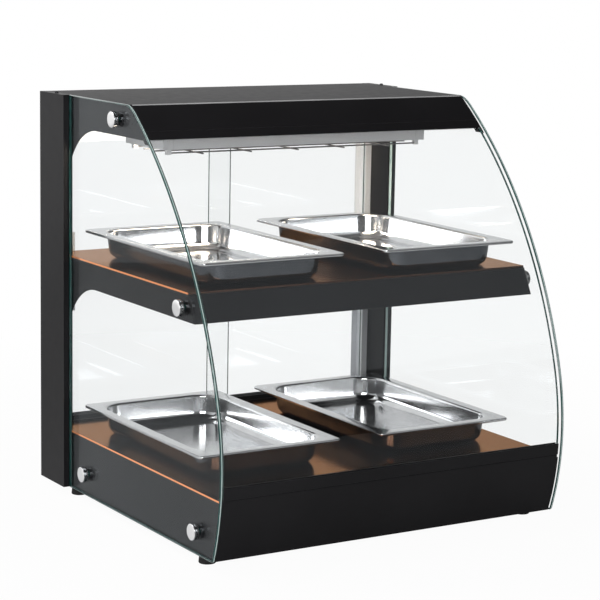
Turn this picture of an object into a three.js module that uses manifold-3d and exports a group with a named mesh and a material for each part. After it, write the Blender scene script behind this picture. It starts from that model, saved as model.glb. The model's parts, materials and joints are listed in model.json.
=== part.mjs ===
// Heated display case with a curved glass front, two levels and sliding glass doors at the back.
// Millimetres, +X to the right, +Y to the back, +Z up. The origin is on the counter, under the
// middle of the case. Heights inside the body group are measured from the underside of the base.

import * as THREE from 'three';
import { mergeVertices } from 'three/addons/utils/BufferGeometryUtils.js';
import Module from 'manifold-3d';

// Overall size
const caseWidth = 680;
const caseDepth = 634;
const bodyHeight = 683;
const footHeight = 16;

// Clearances and cutting
const seat = 0.3;
const cutOverrun = 5;
const halfTurn = Math.PI;

// Curved side line: a lower bend that runs tangent into a flatter upper bend, which ends at the
// front of the canopy's top
const lowerBendRadius = 421;
const canopyDepth = 323.1;
const bendHeight = 139;
const bendJoinAngle = THREE.MathUtils.degToRad(15.2);
const curveSteps = 18;

// Rear columns
const columnWidth = 14.7;
const columnDepth = 95;
const columnSheet = 1.5;

// Glass panes
const sideGlassThickness = 5;
const sideGlassGap = 0.5;
const sideGlassCorner = 14;
const sideGlassFoot = 5;
const frontGlassThickness = 5;
const frontGlassInset = 4;
const doorGlassThickness = 4;

// Side frames: sheet plates with two windows that run out to the front
const sideSheet = 2;
const frameInset = 3.5;
const windowArchRadius = 118;
const windowArchReach = 97;
const frameTabDrop = 6;
const frameTabLength = 22;

// Levels
const baseHeight = 102;
const deckDrop = 1.8;
const shelfTopHeight = 407.7;
const shelfHeight = 46.3;
const canopyHeight = 53.8;
const plateThickness = 3;
const sheet = 1.5;

// Shelf
const shelfSetback = 38;
const shelfRearInset = 45;
const shelfLip = 14;

// Canopy and the strips that hold the front glass
const fasciaHeight = 39;
const holderInset = 2;
const holderWall = 1.6;
const holderRun = 1.1;
const upperHolderHeight = 12;
const lowerHolderHeight = 19;
const holderWeb = 2.5;
const baseFlange = 15;

// Chrome knobs that clamp the side panes
const knobDiameter = 26;
const knobHeight = 9.5;
const knobBevel = 1.6;
const knobNeckDiameter = 20;
const knobNeckHeight = 2.5;
const studDiameter = 6;
const studReach = 26;
const studClearance = 1;
const nutAcross = 10;
const nutThickness = 5;
const canopyKnobInset = 49;
const shelfKnobInset = 24.5;
const baseKnobFrontInset = 64;
const baseKnobRearInset = 67;
const baseKnobHeightShare = 0.37;
const knobSides = 20;

// Sliding doors and their aluminium tracks and jambs
const trackWall = 1.6;
const trackGroove = 8;
const trackInset = 27;
const lowerTrackHeight = 9;
const upperTrackHeight = 16;
const trackWeb = 2;
const doorOverlap = 50;
const doorMiddleX = 8;
const doorLift = 4;
const jambDepth = 12;
const jambLap = 12;
const jambSheet = 1.5;
const doorEdgeRun = 3;
const gripWidth = 12;
const gripDepth = 4.8;
const gripLength = 140;
const gripInset = 34;
const gripLip = 3;

// Ceiling heater with quartz tubes, reflector and wire guard
const heaterSideInset = 64.7;
const heaterDepth = 136;
const heaterRearInset = 167;
const heaterDrop = 23;
const heaterSheet = 1.2;
const heaterCapLength = 18;
const reflectorSheet = 0.8;
const reflectorRise = 12;
const tubeDiameter = 10;
const tubeRiseShare = 0.8;
const tubeSocketDepth = 8;
const socketLength = 15;
const socketWidth = 20;
const socketHeight = 16;
const guardWire = 2.6;
const guardDrop = 6;
const guardWeldShare = 0.8;
const guardCrossPitch = 92;
const guardRunnerShares = [0.06, 0.35, 0.65, 0.94];
const guardClipSize = 8;

// Heating coils under the shelf plate and the deck
const coilDiameter = 8;
const coilRuns = 6;
const coilMargin = 60;
const coilBendShare = 0.45;
const coilStepsPerRun = 14;
const coilClampWidth = 10;
const coilClampSheet = 1.5;
const coilClampWing = 8;
const coilTail = 26;
const coilFrontInset = 60;
const coilRearInset = 72;

// Controls on the recessed rear panel
const panelInset = 25;
const dialInset = 132.7;
const controlPitch = 80;
const dialDiameter = 34;
const dialHeight = 15;
const dialSkirtHeight = 4;
const dialSkirtDiameter = 42;
const dialBevel = 1.6;
const dialFlutes = 12;
const dialFluteDiameter = 4;
const dialFluteSides = 8;
const dialShaftDiameter = 6;
const thermostatSize = 36;
const thermostatDepth = 30;
const switchPitch = 40;
const switchWidth = 24;
const switchHeight = 32;
const switchRim = 2.5;
const switchFlange = 2;
const switchBodyDepth = 22;
const rockerTilt = THREE.MathUtils.degToRad(9);
const rockerRun = 0.6;
const rockerThickness = 7;
const rockerBackShares = [[0, -1], [-0.5, -0.5], [-0.5, 0.5], [0, 1]];
const lampDiameter = 12;
const lampHeight = 6;
const lampRimDiameter = 16;
const lampShoulderShares = [0.8, 0.75];
const controlHeightShare = 0.55;
const glandInset = 92.7;
const glandHexAcross = 24;
const glandHexHeight = 7;
const glandDomeHeight = 11;
const glandDomeShares = [[0.92, 0], [0.92, 0.35], [0.8, 0.75], [0.6, 1]];
const glandBore = 9;
const glandThread = 16;
const glandThreadLength = 12;
const locknutAcross = 22;
const locknutHeight = 4;
const terminalBlockLength = 60;
const terminalBlockDepth = 22;
const terminalBlockHeight = 20;
const terminalWays = 5;
const terminalPocketShare = 0.5;
const ventLength = 4;
const ventHeight = 46;
const ventPitch = 10;
const ventCount = 8;

// Food pans
const panDepth = 44;
const panSheet = 1.2;
const panFlange = 19;
const panFlangeCorner = 9;
const panCorner = 42;
const panTaper = 3;
const panFloorRadius = 10;
const panBendShare = 0.3;
const panSideGap = 20.2;
const panMiddleGap = 75;
const panRearGap = 51;
const panFrontGap = 116;
const panCornerSteps = 5;

// Feet
const footDiameter = 28;
const footTopDiameter = 24;
const footInset = 32;
const footFrontInset = 79;
const footRearInset = 91;
const footScrewDiameter = 5;
const footScrewReach = 6;
const footPocketDiameter = 11;
const footPocketShare = 0.3;
const footBevel = 1.5;
const roundSides = 16;
const wireSides = 6;

// Derived places
const halfWidth = caseWidth / 2;
const rearY = caseDepth / 2;
const columnFrontY = rearY - columnDepth;
const shelfRearY = rearY - shelfRearInset;
const trackFrontY = rearY - trackInset;
const panelY = rearY - panelInset;
const deckHeight = baseHeight - deckDrop;
const shelfUndersideHeight = shelfTopHeight - shelfHeight;
const ceilingHeight = bodyHeight - canopyHeight;
const fasciaFoot = bodyHeight - fasciaHeight;
const frameOuterX = halfWidth - columnWidth - seat;
const frameInnerX = frameOuterX - sideSheet;
const bodyEndX = frameInnerX - seat;
const glassInnerX = frameOuterX + sideGlassGap;
const glassOuterX = glassInnerX + sideGlassThickness;
const frameRearY = rearY - sheet;
const trackDepth = 3 * trackWall + 2 * trackGroove;
const innerGrooveY = trackFrontY + trackWall + trackGroove / 2;
const outerGrooveY = innerGrooveY + trackGroove + trackWall;
const controlHeight = baseHeight * controlHeightShare;
const shelfArmTop = shelfTopHeight - plateThickness - seat;
const deckArmTop = deckHeight - plateThickness - seat;
const trackRoof = ceilingHeight - seat;
const trackFloor = deckHeight + seat;
const heaterTop = ceilingHeight - seat;
const heaterFoot = heaterTop - heaterDrop;
const heaterLength = 2 * (bodyEndX - heaterSideInset);
const heaterFrontY = rearY - heaterRearInset - heaterDepth;
const dialX = bodyEndX - dialInset;
const switchX = dialX - controlPitch;
const lampX = switchX - controlPitch;
const glandX = glandInset - bodyEndX;
const ventMiddleX = (glandX + lampX) / 2;
const panWidth = bodyEndX - panSideGap - panMiddleGap / 2;
const panLength = caseDepth - shelfRearInset - panRearGap - panFrontGap;
const panCentreX = bodyEndX - panSideGap - panWidth / 2;
const panCentreY = shelfRearY - panRearGap - panLength / 2;
const coilRear = shelfRearY - coilRearInset;

// The lower bend is centred at lowerBendY and ends at the join; the upper bend starts there in the
// same direction, and its radius follows from the canopy's front edge
const lowerBendY = lowerBendRadius - rearY;
const joinY = lowerBendY - lowerBendRadius * Math.cos(bendJoinAngle);
const joinHeight = bendHeight + lowerBendRadius * Math.sin(bendJoinAngle);
const upperRun = rearY - canopyDepth - joinY;
const upperRise = bodyHeight - joinHeight;
const upperChordOffset = upperRun * Math.cos(bendJoinAngle) - upperRise * Math.sin(bendJoinAngle);
const upperBendRadius = (upperRun ** 2 + upperRise ** 2) / (2 * upperChordOffset);
const upperBendY = joinY + upperBendRadius * Math.cos(bendJoinAngle);
const upperBendHeight = joinHeight - upperBendRadius * Math.sin(bendJoinAngle);

const wasm = await Module();
wasm.setup();

const axisX = new THREE.Vector3(1, 0, 0);
const axisY = new THREE.Vector3(0, 1, 0);
const axisZ = new THREE.Vector3(0, 0, 1);

// A closed three.js geometry as a solid for joining and cutting
function solidOf(geometry) {
  const bare = geometry.clone();
  bare.deleteAttribute('normal');
  bare.deleteAttribute('uv');
  const welded = mergeVertices(bare);
  const vertProperties = new Float32Array(welded.attributes.position.array);
  const triVerts = new Uint32Array(welded.index.array);
  return new wasm.Manifold(new wasm.Mesh({ numProp: 3, vertProperties, triVerts }));
}

function geometryOf(solid) {
  const mesh = solid.getMesh();
  const geometry = new THREE.BufferGeometry();
  const positions = new Float32Array(mesh.vertProperties);
  geometry.setAttribute('position', new THREE.BufferAttribute(positions, 3));
  geometry.setIndex(new THREE.BufferAttribute(new Uint32Array(mesh.triVerts), 1));
  geometry.computeVertexNormals();
  return geometry;
}

function joined(solids) {
  return solids.reduce((whole, solid) => whole.add(solid));
}

function without(solid, cutters) {
  return solid.subtract(joined(cutters));
}

function block(low, high) {
  const geometry = new THREE.BoxGeometry(high[0] - low[0], high[1] - low[1], high[2] - low[2]);
  geometry.translate((low[0] + high[0]) / 2, (low[1] + high[1]) / 2, (low[2] + high[2]) / 2);
  return solidOf(geometry);
}

function extruded(outline, depth, shift, basis) {
  const shape = new THREE.Shape(outline.map(([u, v]) => new THREE.Vector2(u, v)));
  const geometry = new THREE.ExtrudeGeometry(shape, { depth, bevelEnabled: false });
  geometry.translate(0, 0, shift);
  geometry.applyMatrix4(basis);
  return solidOf(geometry);
}

// An outline of [y, z] points carried along X, of [x, z] points along Y, or of [x, y] points along Z
function prismX(outline, from, to) {
  const basis = new THREE.Matrix4().makeBasis(axisY, axisZ, axisX);
  return extruded(outline, to - from, from, basis);
}

function prismY(outline, from, to) {
  const basis = new THREE.Matrix4().makeBasis(axisX, axisZ, axisY.clone().negate());
  return extruded(outline, to - from, -to, basis);
}

function prismZ(outline, from, to) {
  return extruded(outline, to - from, from, new THREE.Matrix4());
}

function aimed(geometry, place, direction) {
  geometry.applyQuaternion(new THREE.Quaternion().setFromUnitVectors(axisY, direction));
  geometry.translate(...place);
  return solidOf(geometry);
}

// A round bar from a place along a unit direction
function bar(place, direction, length, diameter, sides = roundSides) {
  const geometry = new THREE.CylinderGeometry(diameter / 2, diameter / 2, length, sides);
  geometry.translate(0, length / 2, 0);
  return aimed(geometry, place, direction);
}

// A turned piece: its profile lists [radius, distance along the axis]
function turned(profile, place, direction, sides = roundSides) {
  const points = profile.map(([radius, along]) => new THREE.Vector2(radius, along));
  return aimed(new THREE.LatheGeometry(points, sides), place, direction);
}

function hexagonBar(place, direction, length, across) {
  return bar(place, direction, length, across / Math.cos(halfTurn / 6), 6);
}

// A bent round rod that follows a line of points with rounded corners
function bentRod(points, bendRadius, diameter, sides, steps) {
  const path = new THREE.CurvePath();
  let start = points[0];
  for (let i = 1; i < points.length - 1; i += 1) {
    const corner = points[i];
    const inward = corner.clone().sub(points[i - 1]).normalize();
    const outward = points[i + 1].clone().sub(corner).normalize();
    const before = corner.clone().addScaledVector(inward, -bendRadius);
    const after = corner.clone().addScaledVector(outward, bendRadius);
    path.add(new THREE.LineCurve3(start, before));
    path.add(new THREE.QuadraticBezierCurve3(before, corner, after));
    start = after;
  }
  path.add(new THREE.LineCurve3(start, points[points.length - 1]));
  const section = [];
  for (let i = 0; i < sides; i += 1) {
    const angle = (2 * halfTurn * i) / sides;
    section.push(new THREE.Vector2(Math.cos(angle), Math.sin(angle)).multiplyScalar(diameter / 2));
  }
  const shape = new THREE.Shape(section);
  return solidOf(new THREE.ExtrudeGeometry(shape, { steps, extrudePath: path, bevelEnabled: false }));
}

// A stack of like rings closed by a fan at each end
function lofted(rings) {
  const count = rings[0].length;
  const positions = rings.flat(2);
  const index = [];
  for (let r = 0; r + 1 < rings.length; r += 1) {
    for (let i = 0; i < count; i += 1) {
      const next = (i + 1) % count;
      const a = r * count + i;
      const b = r * count + next;
      index.push(a, b, b + count, a, b + count, a + count);
    }
  }
  const last = (rings.length - 1) * count;
  for (let i = 1; i + 1 < count; i += 1) {
    index.push(0, i + 1, i);
    index.push(last, last + i, last + i + 1);
  }
  const geometry = new THREE.BufferGeometry();
  geometry.setAttribute('position', new THREE.Float32BufferAttribute(positions, 3));
  geometry.setIndex(index);
  return solidOf(geometry);
}

// The case's front line: y at a height above the base, set back by an inset
function frontY(height, inset) {
  if (height < joinHeight - inset * Math.sin(bendJoinAngle)) {
    return lowerBendY - Math.sqrt((lowerBendRadius - inset) ** 2 - (height - bendHeight) ** 2);
  }
  return upperBendY - Math.sqrt((upperBendRadius - inset) ** 2 - (height - upperBendHeight) ** 2);
}

function frontLine(inset, low, high, steps = curveSteps) {
  const line = [];
  for (let i = 0; i <= steps; i += 1) {
    const height = low + ((high - low) * i) / steps;
    line.push([frontY(height, inset), height]);
  }
  return line;
}

// A strip between two insets of the front line
function frontBand(outerInset, innerInset, low, high, steps) {
  const inner = frontLine(innerInset, low, high, steps).reverse();
  return frontLine(outerInset, low, high, steps).concat(inner);
}

function roundedCorner(before, corner, after, steps = 4) {
  const curve = new THREE.QuadraticBezierCurve(
    new THREE.Vector2(...before),
    new THREE.Vector2(...corner),
    new THREE.Vector2(...after),
  );
  return curve.getPoints(steps).map((point) => [point.x, point.y]);
}

const knobPlaces = [
  [frontY(bodyHeight, 0) + canopyKnobInset, (ceilingHeight + bodyHeight) / 2],
  [
    frontY((shelfUndersideHeight + shelfArmTop) / 2, shelfSetback) + shelfKnobInset,
    (shelfUndersideHeight + shelfArmTop) / 2,
  ],
  [columnFrontY - baseKnobRearInset, baseHeight * baseKnobHeightShare],
  [frontY(baseHeight * baseKnobHeightShare, 0) + baseKnobFrontInset, baseHeight * baseKnobHeightShare],
];

function knobHoles(side, inner, outer, diameter) {
  const direction = axisX.clone().multiplyScalar(side);
  const start = side * (inner - cutOverrun);
  const length = outer - inner + 2 * cutOverrun;
  return knobPlaces.map(([y, z]) => bar([start, y, z], direction, length, diameter));
}

function spanX(side, inner, outer) {
  return side > 0 ? [inner, outer] : [-outer, -inner];
}

// Side pane: flat rear edge at the column, curved front edge, rounded front corners
function sideGlass(side) {
  const top = bodyHeight;
  const bottomY = frontY(0, 0);
  const topY = frontY(top, 0);
  const curveTop = top - sideGlassCorner;
  const outline = [
    [columnFrontY - seat, 0],
    ...roundedCorner(
      [bottomY + sideGlassFoot, 0],
      [bottomY, 0],
      [frontY(sideGlassFoot, 0), sideGlassFoot],
      2,
    ),
    ...frontLine(0, sideGlassFoot, curveTop).slice(1, -1),
    ...roundedCorner([frontY(curveTop, 0), curveTop], [topY, top], [topY + sideGlassCorner, top]),
    [columnFrontY - seat, top],
  ];
  const [low, high] = spanX(side, glassInnerX, glassOuterX);
  const holes = knobHoles(side, glassInnerX, glassOuterX, studDiameter + 2 * studClearance);
  return without(prismX(outline, low, high), holes);
}

// A window of the side frame, open to the front, with an arched corner at the column
function frameWindow(low, high) {
  const frontEdge = -rearY - cutOverrun;
  const archStartY = columnFrontY - windowArchReach;
  const arch = [];
  const endAngle = Math.asin(windowArchReach / windowArchRadius);
  const archSteps = 8;
  for (let i = 0; i <= archSteps; i += 1) {
    const angle = (endAngle * (archSteps - i)) / archSteps;
    const drop = windowArchRadius * (1 - Math.cos(angle));
    arch.push([archStartY + windowArchRadius * Math.sin(angle), high - drop]);
  }
  return [[frontEdge, low], [columnFrontY, low], ...arch, [frontEdge, high]];
}

// Side frame: one plate under the column, with canopy, shelf and base arms
function sideFrame(side) {
  const [low, high] = spanX(side, frameInnerX, frameOuterX);
  const [cutLow, cutHigh] = [low - cutOverrun, high + cutOverrun];
  const tabY = frontY(ceilingHeight, frameInset) + frameTabLength;
  const outline = [
    [frameRearY, 0],
    ...frontLine(frameInset, 0, bodyHeight),
    [frameRearY, bodyHeight],
  ];
  const shelfNose = [
    [-rearY - cutOverrun, shelfUndersideHeight - cutOverrun],
    [frontY(shelfUndersideHeight - cutOverrun, shelfSetback), shelfUndersideHeight - cutOverrun],
    [frontY(shelfArmTop + cutOverrun, shelfSetback), shelfArmTop + cutOverrun],
    [-rearY - cutOverrun, shelfArmTop + cutOverrun],
  ];
  const tab = [
    [frontY(ceilingHeight - frameTabDrop, frameInset), ceilingHeight - frameTabDrop],
    [tabY - frameTabDrop, ceilingHeight - frameTabDrop],
    [tabY, ceilingHeight],
    [tabY, ceilingHeight + frameTabDrop],
    [frontY(ceilingHeight + frameTabDrop, frameInset), ceilingHeight + frameTabDrop],
  ];
  const plate = without(prismX(outline, low, high), [
    prismX(frameWindow(shelfArmTop, ceilingHeight), cutLow, cutHigh),
    prismX(frameWindow(deckArmTop, shelfUndersideHeight), cutLow, cutHigh),
    prismX(shelfNose, cutLow, cutHigh),
    ...knobHoles(side, frameInnerX, frameOuterX, studDiameter + studClearance),
  ]);
  return plate.add(prismX(tab, low, high));
}

// Rear column: a folded tube with a closed top
function rearColumn(side) {
  const [low, high] = spanX(side, halfWidth - columnWidth, halfWidth);
  const outer = block([low, columnFrontY, 0], [high, rearY, bodyHeight]);
  const hollow = block(
    [low + columnSheet, columnFrontY + columnSheet, -cutOverrun],
    [high - columnSheet, rearY - columnSheet, bodyHeight - columnSheet],
  );
  return outer.subtract(hollow);
}

// Base: curved fascia, bottom plate and the flange that carries the glass strip
function baseTray() {
  const outer = [[frameRearY, 0], ...frontLine(frameInset, 0, baseHeight, 5)];
  const inner = [
    [frameRearY, sheet],
    ...frontLine(frameInset + sheet, sheet, baseHeight - sheet, 5),
  ];
  const flangeY = frontY(baseHeight, frameInset) + baseFlange;
  const outline = outer.concat([
    [flangeY, baseHeight],
    [flangeY, baseHeight - sheet],
    ...inner.slice(1).reverse(),
    inner[0],
  ]);
  const tray = prismX(outline, -bodyEndX, bodyEndX);
  const holes = footPlaces().map(([x, y]) => (
    bar([x, y, -cutOverrun], axisZ, sheet + 2 * cutOverrun, footScrewDiameter + studClearance)
  ));
  return without(tray, holes);
}

// A heated plate that lies over the side arms and is narrower between the columns
function heatedPlate(top, front, rear, lip) {
  const wideX = frameOuterX - seat;
  const waistY = columnFrontY - seat;
  const outline = [
    [-wideX, front], [wideX, front], [wideX, waistY], [bodyEndX, waistY],
    [bodyEndX, rear], [-bodyEndX, rear], [-bodyEndX, waistY], [-wideX, waistY],
  ];
  const plate = prismZ(outline, top - plateThickness, top);
  const rearLip = block(
    [-bodyEndX, rear - sheet, top - lip],
    [bodyEndX, rear, top - plateThickness / 2],
  );
  const underside = top - plateThickness;
  const saddles = coilSaddles(underside - seat - coilDiameter / 2, underside);
  return joined([plate, rearLip, ...saddles]);
}

const deckFrontY = frontY(baseHeight, frameInset) + baseFlange / 2;
const shelfFrontY = frontY(shelfTopHeight, shelfSetback);

function baseDeck() {
  return heatedPlate(deckHeight, deckFrontY, frameRearY, shelfLip);
}

function shelfTopPlate() {
  return heatedPlate(shelfTopHeight, shelfFrontY, shelfRearY, shelfLip);
}

// Shelf housing: leaning front, bottom and rear wall of one folded sheet, open at the top
function shelfHousing() {
  const low = shelfUndersideHeight;
  const rear = shelfRearY - sheet - seat;
  const outline = [
    [rear, shelfArmTop], [rear, low], [frontY(low, shelfSetback), low],
    [frontY(shelfArmTop, shelfSetback), shelfArmTop],
    [frontY(shelfArmTop, shelfSetback) + shelfLip, shelfArmTop],
    [frontY(shelfArmTop, shelfSetback) + shelfLip, shelfArmTop - sheet],
    [frontY(shelfArmTop - sheet, shelfSetback) + sheet, shelfArmTop - sheet],
    [frontY(low + sheet, shelfSetback) + sheet, low + sheet],
    [rear - sheet, low + sheet], [rear - sheet, shelfArmTop],
  ];
  return prismX(outline, -bodyEndX, bodyEndX);
}

// Canopy cover: flat top, slanted fascia and a header above the doors
function canopyCover() {
  const foot = ceilingHeight + sheet + seat;
  const outer = [
    [frameRearY, foot], ...frontLine(frameInset, fasciaFoot, bodyHeight, 3),
    [frameRearY, bodyHeight],
  ];
  const inner = [
    [frameRearY - sheet, bodyHeight - sheet],
    ...frontLine(frameInset + sheet, fasciaFoot, bodyHeight - sheet, 3).reverse(),
  ];
  const outline = outer.slice(1).concat([outer[0], [frameRearY - sheet, foot]], inner);
  return prismX(outline, -bodyEndX, bodyEndX);
}

function canopyCeiling() {
  const front = frontY(ceilingHeight, holderInset + holderDepth()) + sheet;
  return block(
    [-bodyEndX, front, ceilingHeight],
    [bodyEndX, frameRearY - seat, ceilingHeight + sheet],
  );
}

function holderDepth() {
  return 2 * (holderWall + holderRun) + frontGlassThickness;
}

// A strip with a groove for the front pane; the upper one opens down and the lower one up
function glassHolder(low, height, opensUp) {
  const high = low + height;
  const body = frontBand(holderInset, holderInset + holderDepth(), low, high, 2);
  const grooveLow = opensUp ? low + holderWeb : low - cutOverrun;
  const grooveHigh = opensUp ? high + cutOverrun : high - holderWeb;
  const groove = frontBand(
    frontGlassInset - holderRun,
    frontGlassInset + frontGlassThickness + holderRun,
    grooveLow,
    grooveHigh,
    2,
  );
  const strip = prismX(body, -bodyEndX, bodyEndX);
  const slot = prismX(groove, -bodyEndX - cutOverrun, bodyEndX + cutOverrun);
  return strip.subtract(slot);
}

function upperHolder() {
  return glassHolder(fasciaFoot - seat - upperHolderHeight, upperHolderHeight, false);
}

function lowerHolder() {
  return glassHolder(baseHeight + seat, lowerHolderHeight, true);
}

function frontGlass() {
  const low = baseHeight + holderWeb + 2 * seat;
  const high = fasciaFoot - holderWeb - 2 * seat;
  const band = frontBand(
    frontGlassInset,
    frontGlassInset + frontGlassThickness,
    low,
    high,
    curveSteps,
  );
  return prismX(band, -bodyEndX, bodyEndX);
}

// A knob: bevelled chrome head, neck, and a stud that passes through pane and frame to its nut
function knob(side, [y, z]) {
  const head = knobDiameter / 2;
  const neck = knobNeckDiameter / 2;
  const stud = studDiameter / 2;
  const profile = [
    [0, -studReach], [stud, -studReach], [stud, 0], [neck, 0], [neck, knobNeckHeight],
    [head, knobNeckHeight], [head, knobHeight - knobBevel], [head - knobBevel, knobHeight],
    [0, knobHeight],
  ];
  const direction = axisX.clone().multiplyScalar(side);
  const nutX = side * (frameInnerX - seat);
  const turnedKnob = turned(profile, [side * (glassOuterX + seat), y, z], direction, knobSides);
  return turnedKnob.add(
    hexagonBar([nutX, y, z], direction.clone().negate(), nutThickness, nutAcross),
  );
}

// Double-groove door track; the grooves open up in the lower one and down in the upper one
function doorTrack(base, height, opensUp) {
  const sign = opensUp ? 1 : -1;
  const floor = base + sign * trackWeb;
  const lip = base + sign * height;
  const outline = [[trackFrontY, base], [trackFrontY, lip]];
  for (let i = 0; i < 3; i += 1) {
    const y = trackFrontY + i * (trackWall + trackGroove);
    outline.push([y + trackWall, lip]);
    if (i < 2) {
      outline.push([y + trackWall, floor], [y + trackWall + trackGroove, floor]);
      outline.push([y + trackWall + trackGroove, lip]);
    }
  }
  outline.push([trackFrontY + trackDepth, base]);
  return prismX(outline, -bodyEndX, bodyEndX);
}

// Jamb: an aluminium channel that the closed door's edge slides into
function doorJamb(side) {
  const frontEdge = trackFrontY - jambLap;
  const rearEdge = frameRearY - seat;
  const low = trackFloor + lowerTrackHeight + seat;
  const high = trackRoof - upperTrackHeight - seat;
  const mouth = bodyEndX - jambDepth;
  const outline = [
    [mouth, frontEdge], [bodyEndX, frontEdge], [bodyEndX, rearEdge], [mouth, rearEdge],
    [mouth, rearEdge - jambSheet], [bodyEndX - jambSheet, rearEdge - jambSheet],
    [bodyEndX - jambSheet, frontEdge + jambSheet], [mouth, frontEdge + jambSheet],
  ];
  return prismZ(outline.map(([x, y]) => [side * x, y]), low, high);
}

const doorOuterX = bodyEndX - jambSheet - doorEdgeRun;
const doorLow = trackFloor + trackWeb + seat;
const doorHigh = trackRoof - trackWeb - doorLift;

function doorEdges(side) {
  const meeting = doorMiddleX - side * (doorOverlap / 2);
  return side > 0 ? [meeting, doorOuterX] : [-doorOuterX, meeting];
}

function doorMiddleY(side) {
  return side > 0 ? innerGrooveY : outerGrooveY;
}

function rearDoor(side) {
  const [low, high] = doorEdges(side);
  const y = doorMiddleY(side);
  const half = doorGlassThickness / 2;
  return block([low, y - half, doorLow], [high, y + half, doorHigh]);
}

// Grip: an aluminium profile with a finger lip, bonded to the rear of the pane
function doorGrip(side) {
  const [low, high] = doorEdges(side);
  const centre = side > 0 ? high - gripInset : low + gripInset;
  const face = doorMiddleY(side) + doorGlassThickness / 2 + seat;
  const half = gripWidth / 2;
  const middle = (deckHeight + ceilingHeight) / 2;
  const outline = [
    [-half, 0], [half, 0], [half, gripDepth], [half - gripLip, gripDepth],
    [half - gripLip, gripDepth / 2], [gripLip - half, gripDepth / 3], [-half, gripDepth / 3],
  ];
  const placed = outline.map(([x, y]) => [centre + side * x, face + y]);
  return prismZ(placed, middle - gripLength / 2, middle + gripLength / 2);
}

// Ceiling heater: folded trough between two end caps
function heaterTrough() {
  const half = heaterLength / 2 - heaterCapLength - seat;
  const rear = heaterFrontY + heaterDepth;
  const outer = block([-half, heaterFrontY, heaterFoot], [half, rear, heaterTop]);
  const hollow = block(
    [-half - cutOverrun, heaterFrontY + heaterSheet, heaterFoot - cutOverrun],
    [half + cutOverrun, rear - heaterSheet, heaterTop - heaterSheet],
  );
  return outer.subtract(hollow);
}

function heaterCap(side) {
  const [low, high] = spanX(side, heaterLength / 2 - heaterCapLength, heaterLength / 2);
  const rear = heaterFrontY + heaterDepth;
  const outer = block([low, heaterFrontY, heaterFoot], [high, rear, heaterTop]);
  const hollow = block(
    [low + heaterSheet, heaterFrontY + heaterSheet, heaterFoot + heaterSheet],
    [high - heaterSheet, rear - heaterSheet, heaterTop + cutOverrun],
  );
  const lastShare = guardRunnerShares[guardRunnerShares.length - 1];
  const clipShares = [guardRunnerShares[0], lastShare];
  const clipPlaces = clipShares.map((share) => heaterFrontY + share * heaterDepth);
  const clips = clipPlaces.map((y) => guardClip(side, y));
  const grooves = clipPlaces.map((y) => bar(
    [low - cutOverrun, y, guardHeight],
    axisX,
    high - low + 2 * cutOverrun,
    guardWire + 2 * seat,
    2 * wireSides,
  ));
  return without(joined([outer.subtract(hollow), ...clips]), grooves);
}

// Clip under an end cap, which holds the end of a guard runner
function guardClip(side, y) {
  const half = guardClipSize / 2;
  const [low, high] = spanX(side, guardHalfLength - guardClipSize, guardHalfLength);
  return block(
    [low, y - half, guardHeight - guardWire],
    [high, y + half, heaterFoot + heaterSheet / 2],
  );
}

function tubePlaces() {
  return [heaterFrontY + heaterDepth / 4, heaterFrontY + (heaterDepth * 3) / 4];
}

const guardHeight = heaterFoot - guardDrop;
const guardHalfLength = heaterLength / 2 - heaterCapLength / 2;
const tubeHeight = heaterFoot + tubeDiameter * tubeRiseShare;
const socketInnerX = heaterLength / 2 - heaterCapLength - socketLength - 2 * seat;

// Reflector: two polished arches side by side above the tubes
function heaterReflector() {
  const half = socketInnerX - seat;
  const inset = heaterSheet + seat;
  const archSteps = 6;
  const span = heaterDepth / 2 - inset;
  const crest = heaterTop - heaterSheet - seat;
  const lower = [];
  for (let arch = 0; arch < 2; arch += 1) {
    const start = heaterFrontY + inset + arch * span;
    for (let i = arch; i <= archSteps; i += 1) {
      const share = i / archSteps;
      const rise = 4 * share * (1 - share) * reflectorRise;
      lower.push([start + span * share, crest - reflectorSheet - reflectorRise + rise]);
    }
  }
  const upper = lower.map(([y, z]) => [y, z + reflectorSheet]).reverse();
  return prismX(lower.concat(upper), -half, half);
}

function heaterTube(y) {
  const half = socketInnerX + tubeSocketDepth;
  return bar([-half, y, tubeHeight], axisX, 2 * half, tubeDiameter);
}

// Ceramic socket bar that holds one end of both tubes
function tubeSocket(side) {
  const [low, high] = spanX(side, socketInnerX, socketInnerX + socketLength);
  const [frontTube, rearTube] = tubePlaces();
  const ceramicBar = block(
    [low, frontTube - socketWidth / 2, heaterFoot + seat],
    [high, rearTube + socketWidth / 2, heaterFoot + socketHeight],
  );
  const bores = tubePlaces().map((y) => bar(
    [side * (socketInnerX - cutOverrun), y, tubeHeight],
    axisX.clone().multiplyScalar(side),
    tubeSocketDepth + cutOverrun + seat,
    tubeDiameter + 2 * seat,
  ));
  return without(ceramicBar, bores);
}

// Wire guard: runners along the heater and cross wires welded under them
function wireGuard() {
  const crossZ = guardHeight - guardWire * guardWeldShare;
  const half = guardHalfLength;
  const crossCount = 2 * Math.floor((half - 2 * guardClipSize) / guardCrossPitch) + 1;
  const wires = guardRunnerShares.map((share) => (
    bar([-half, heaterFrontY + share * heaterDepth, guardHeight], axisX, 2 * half, guardWire, wireSides)
  ));
  for (let i = 0; i < crossCount; i += 1) {
    const x = (i - (crossCount - 1) / 2) * guardCrossPitch;
    wires.push(bar([x, heaterFrontY, crossZ], axisY, heaterDepth, guardWire, wireSides));
  }
  return joined(wires);
}

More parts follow.
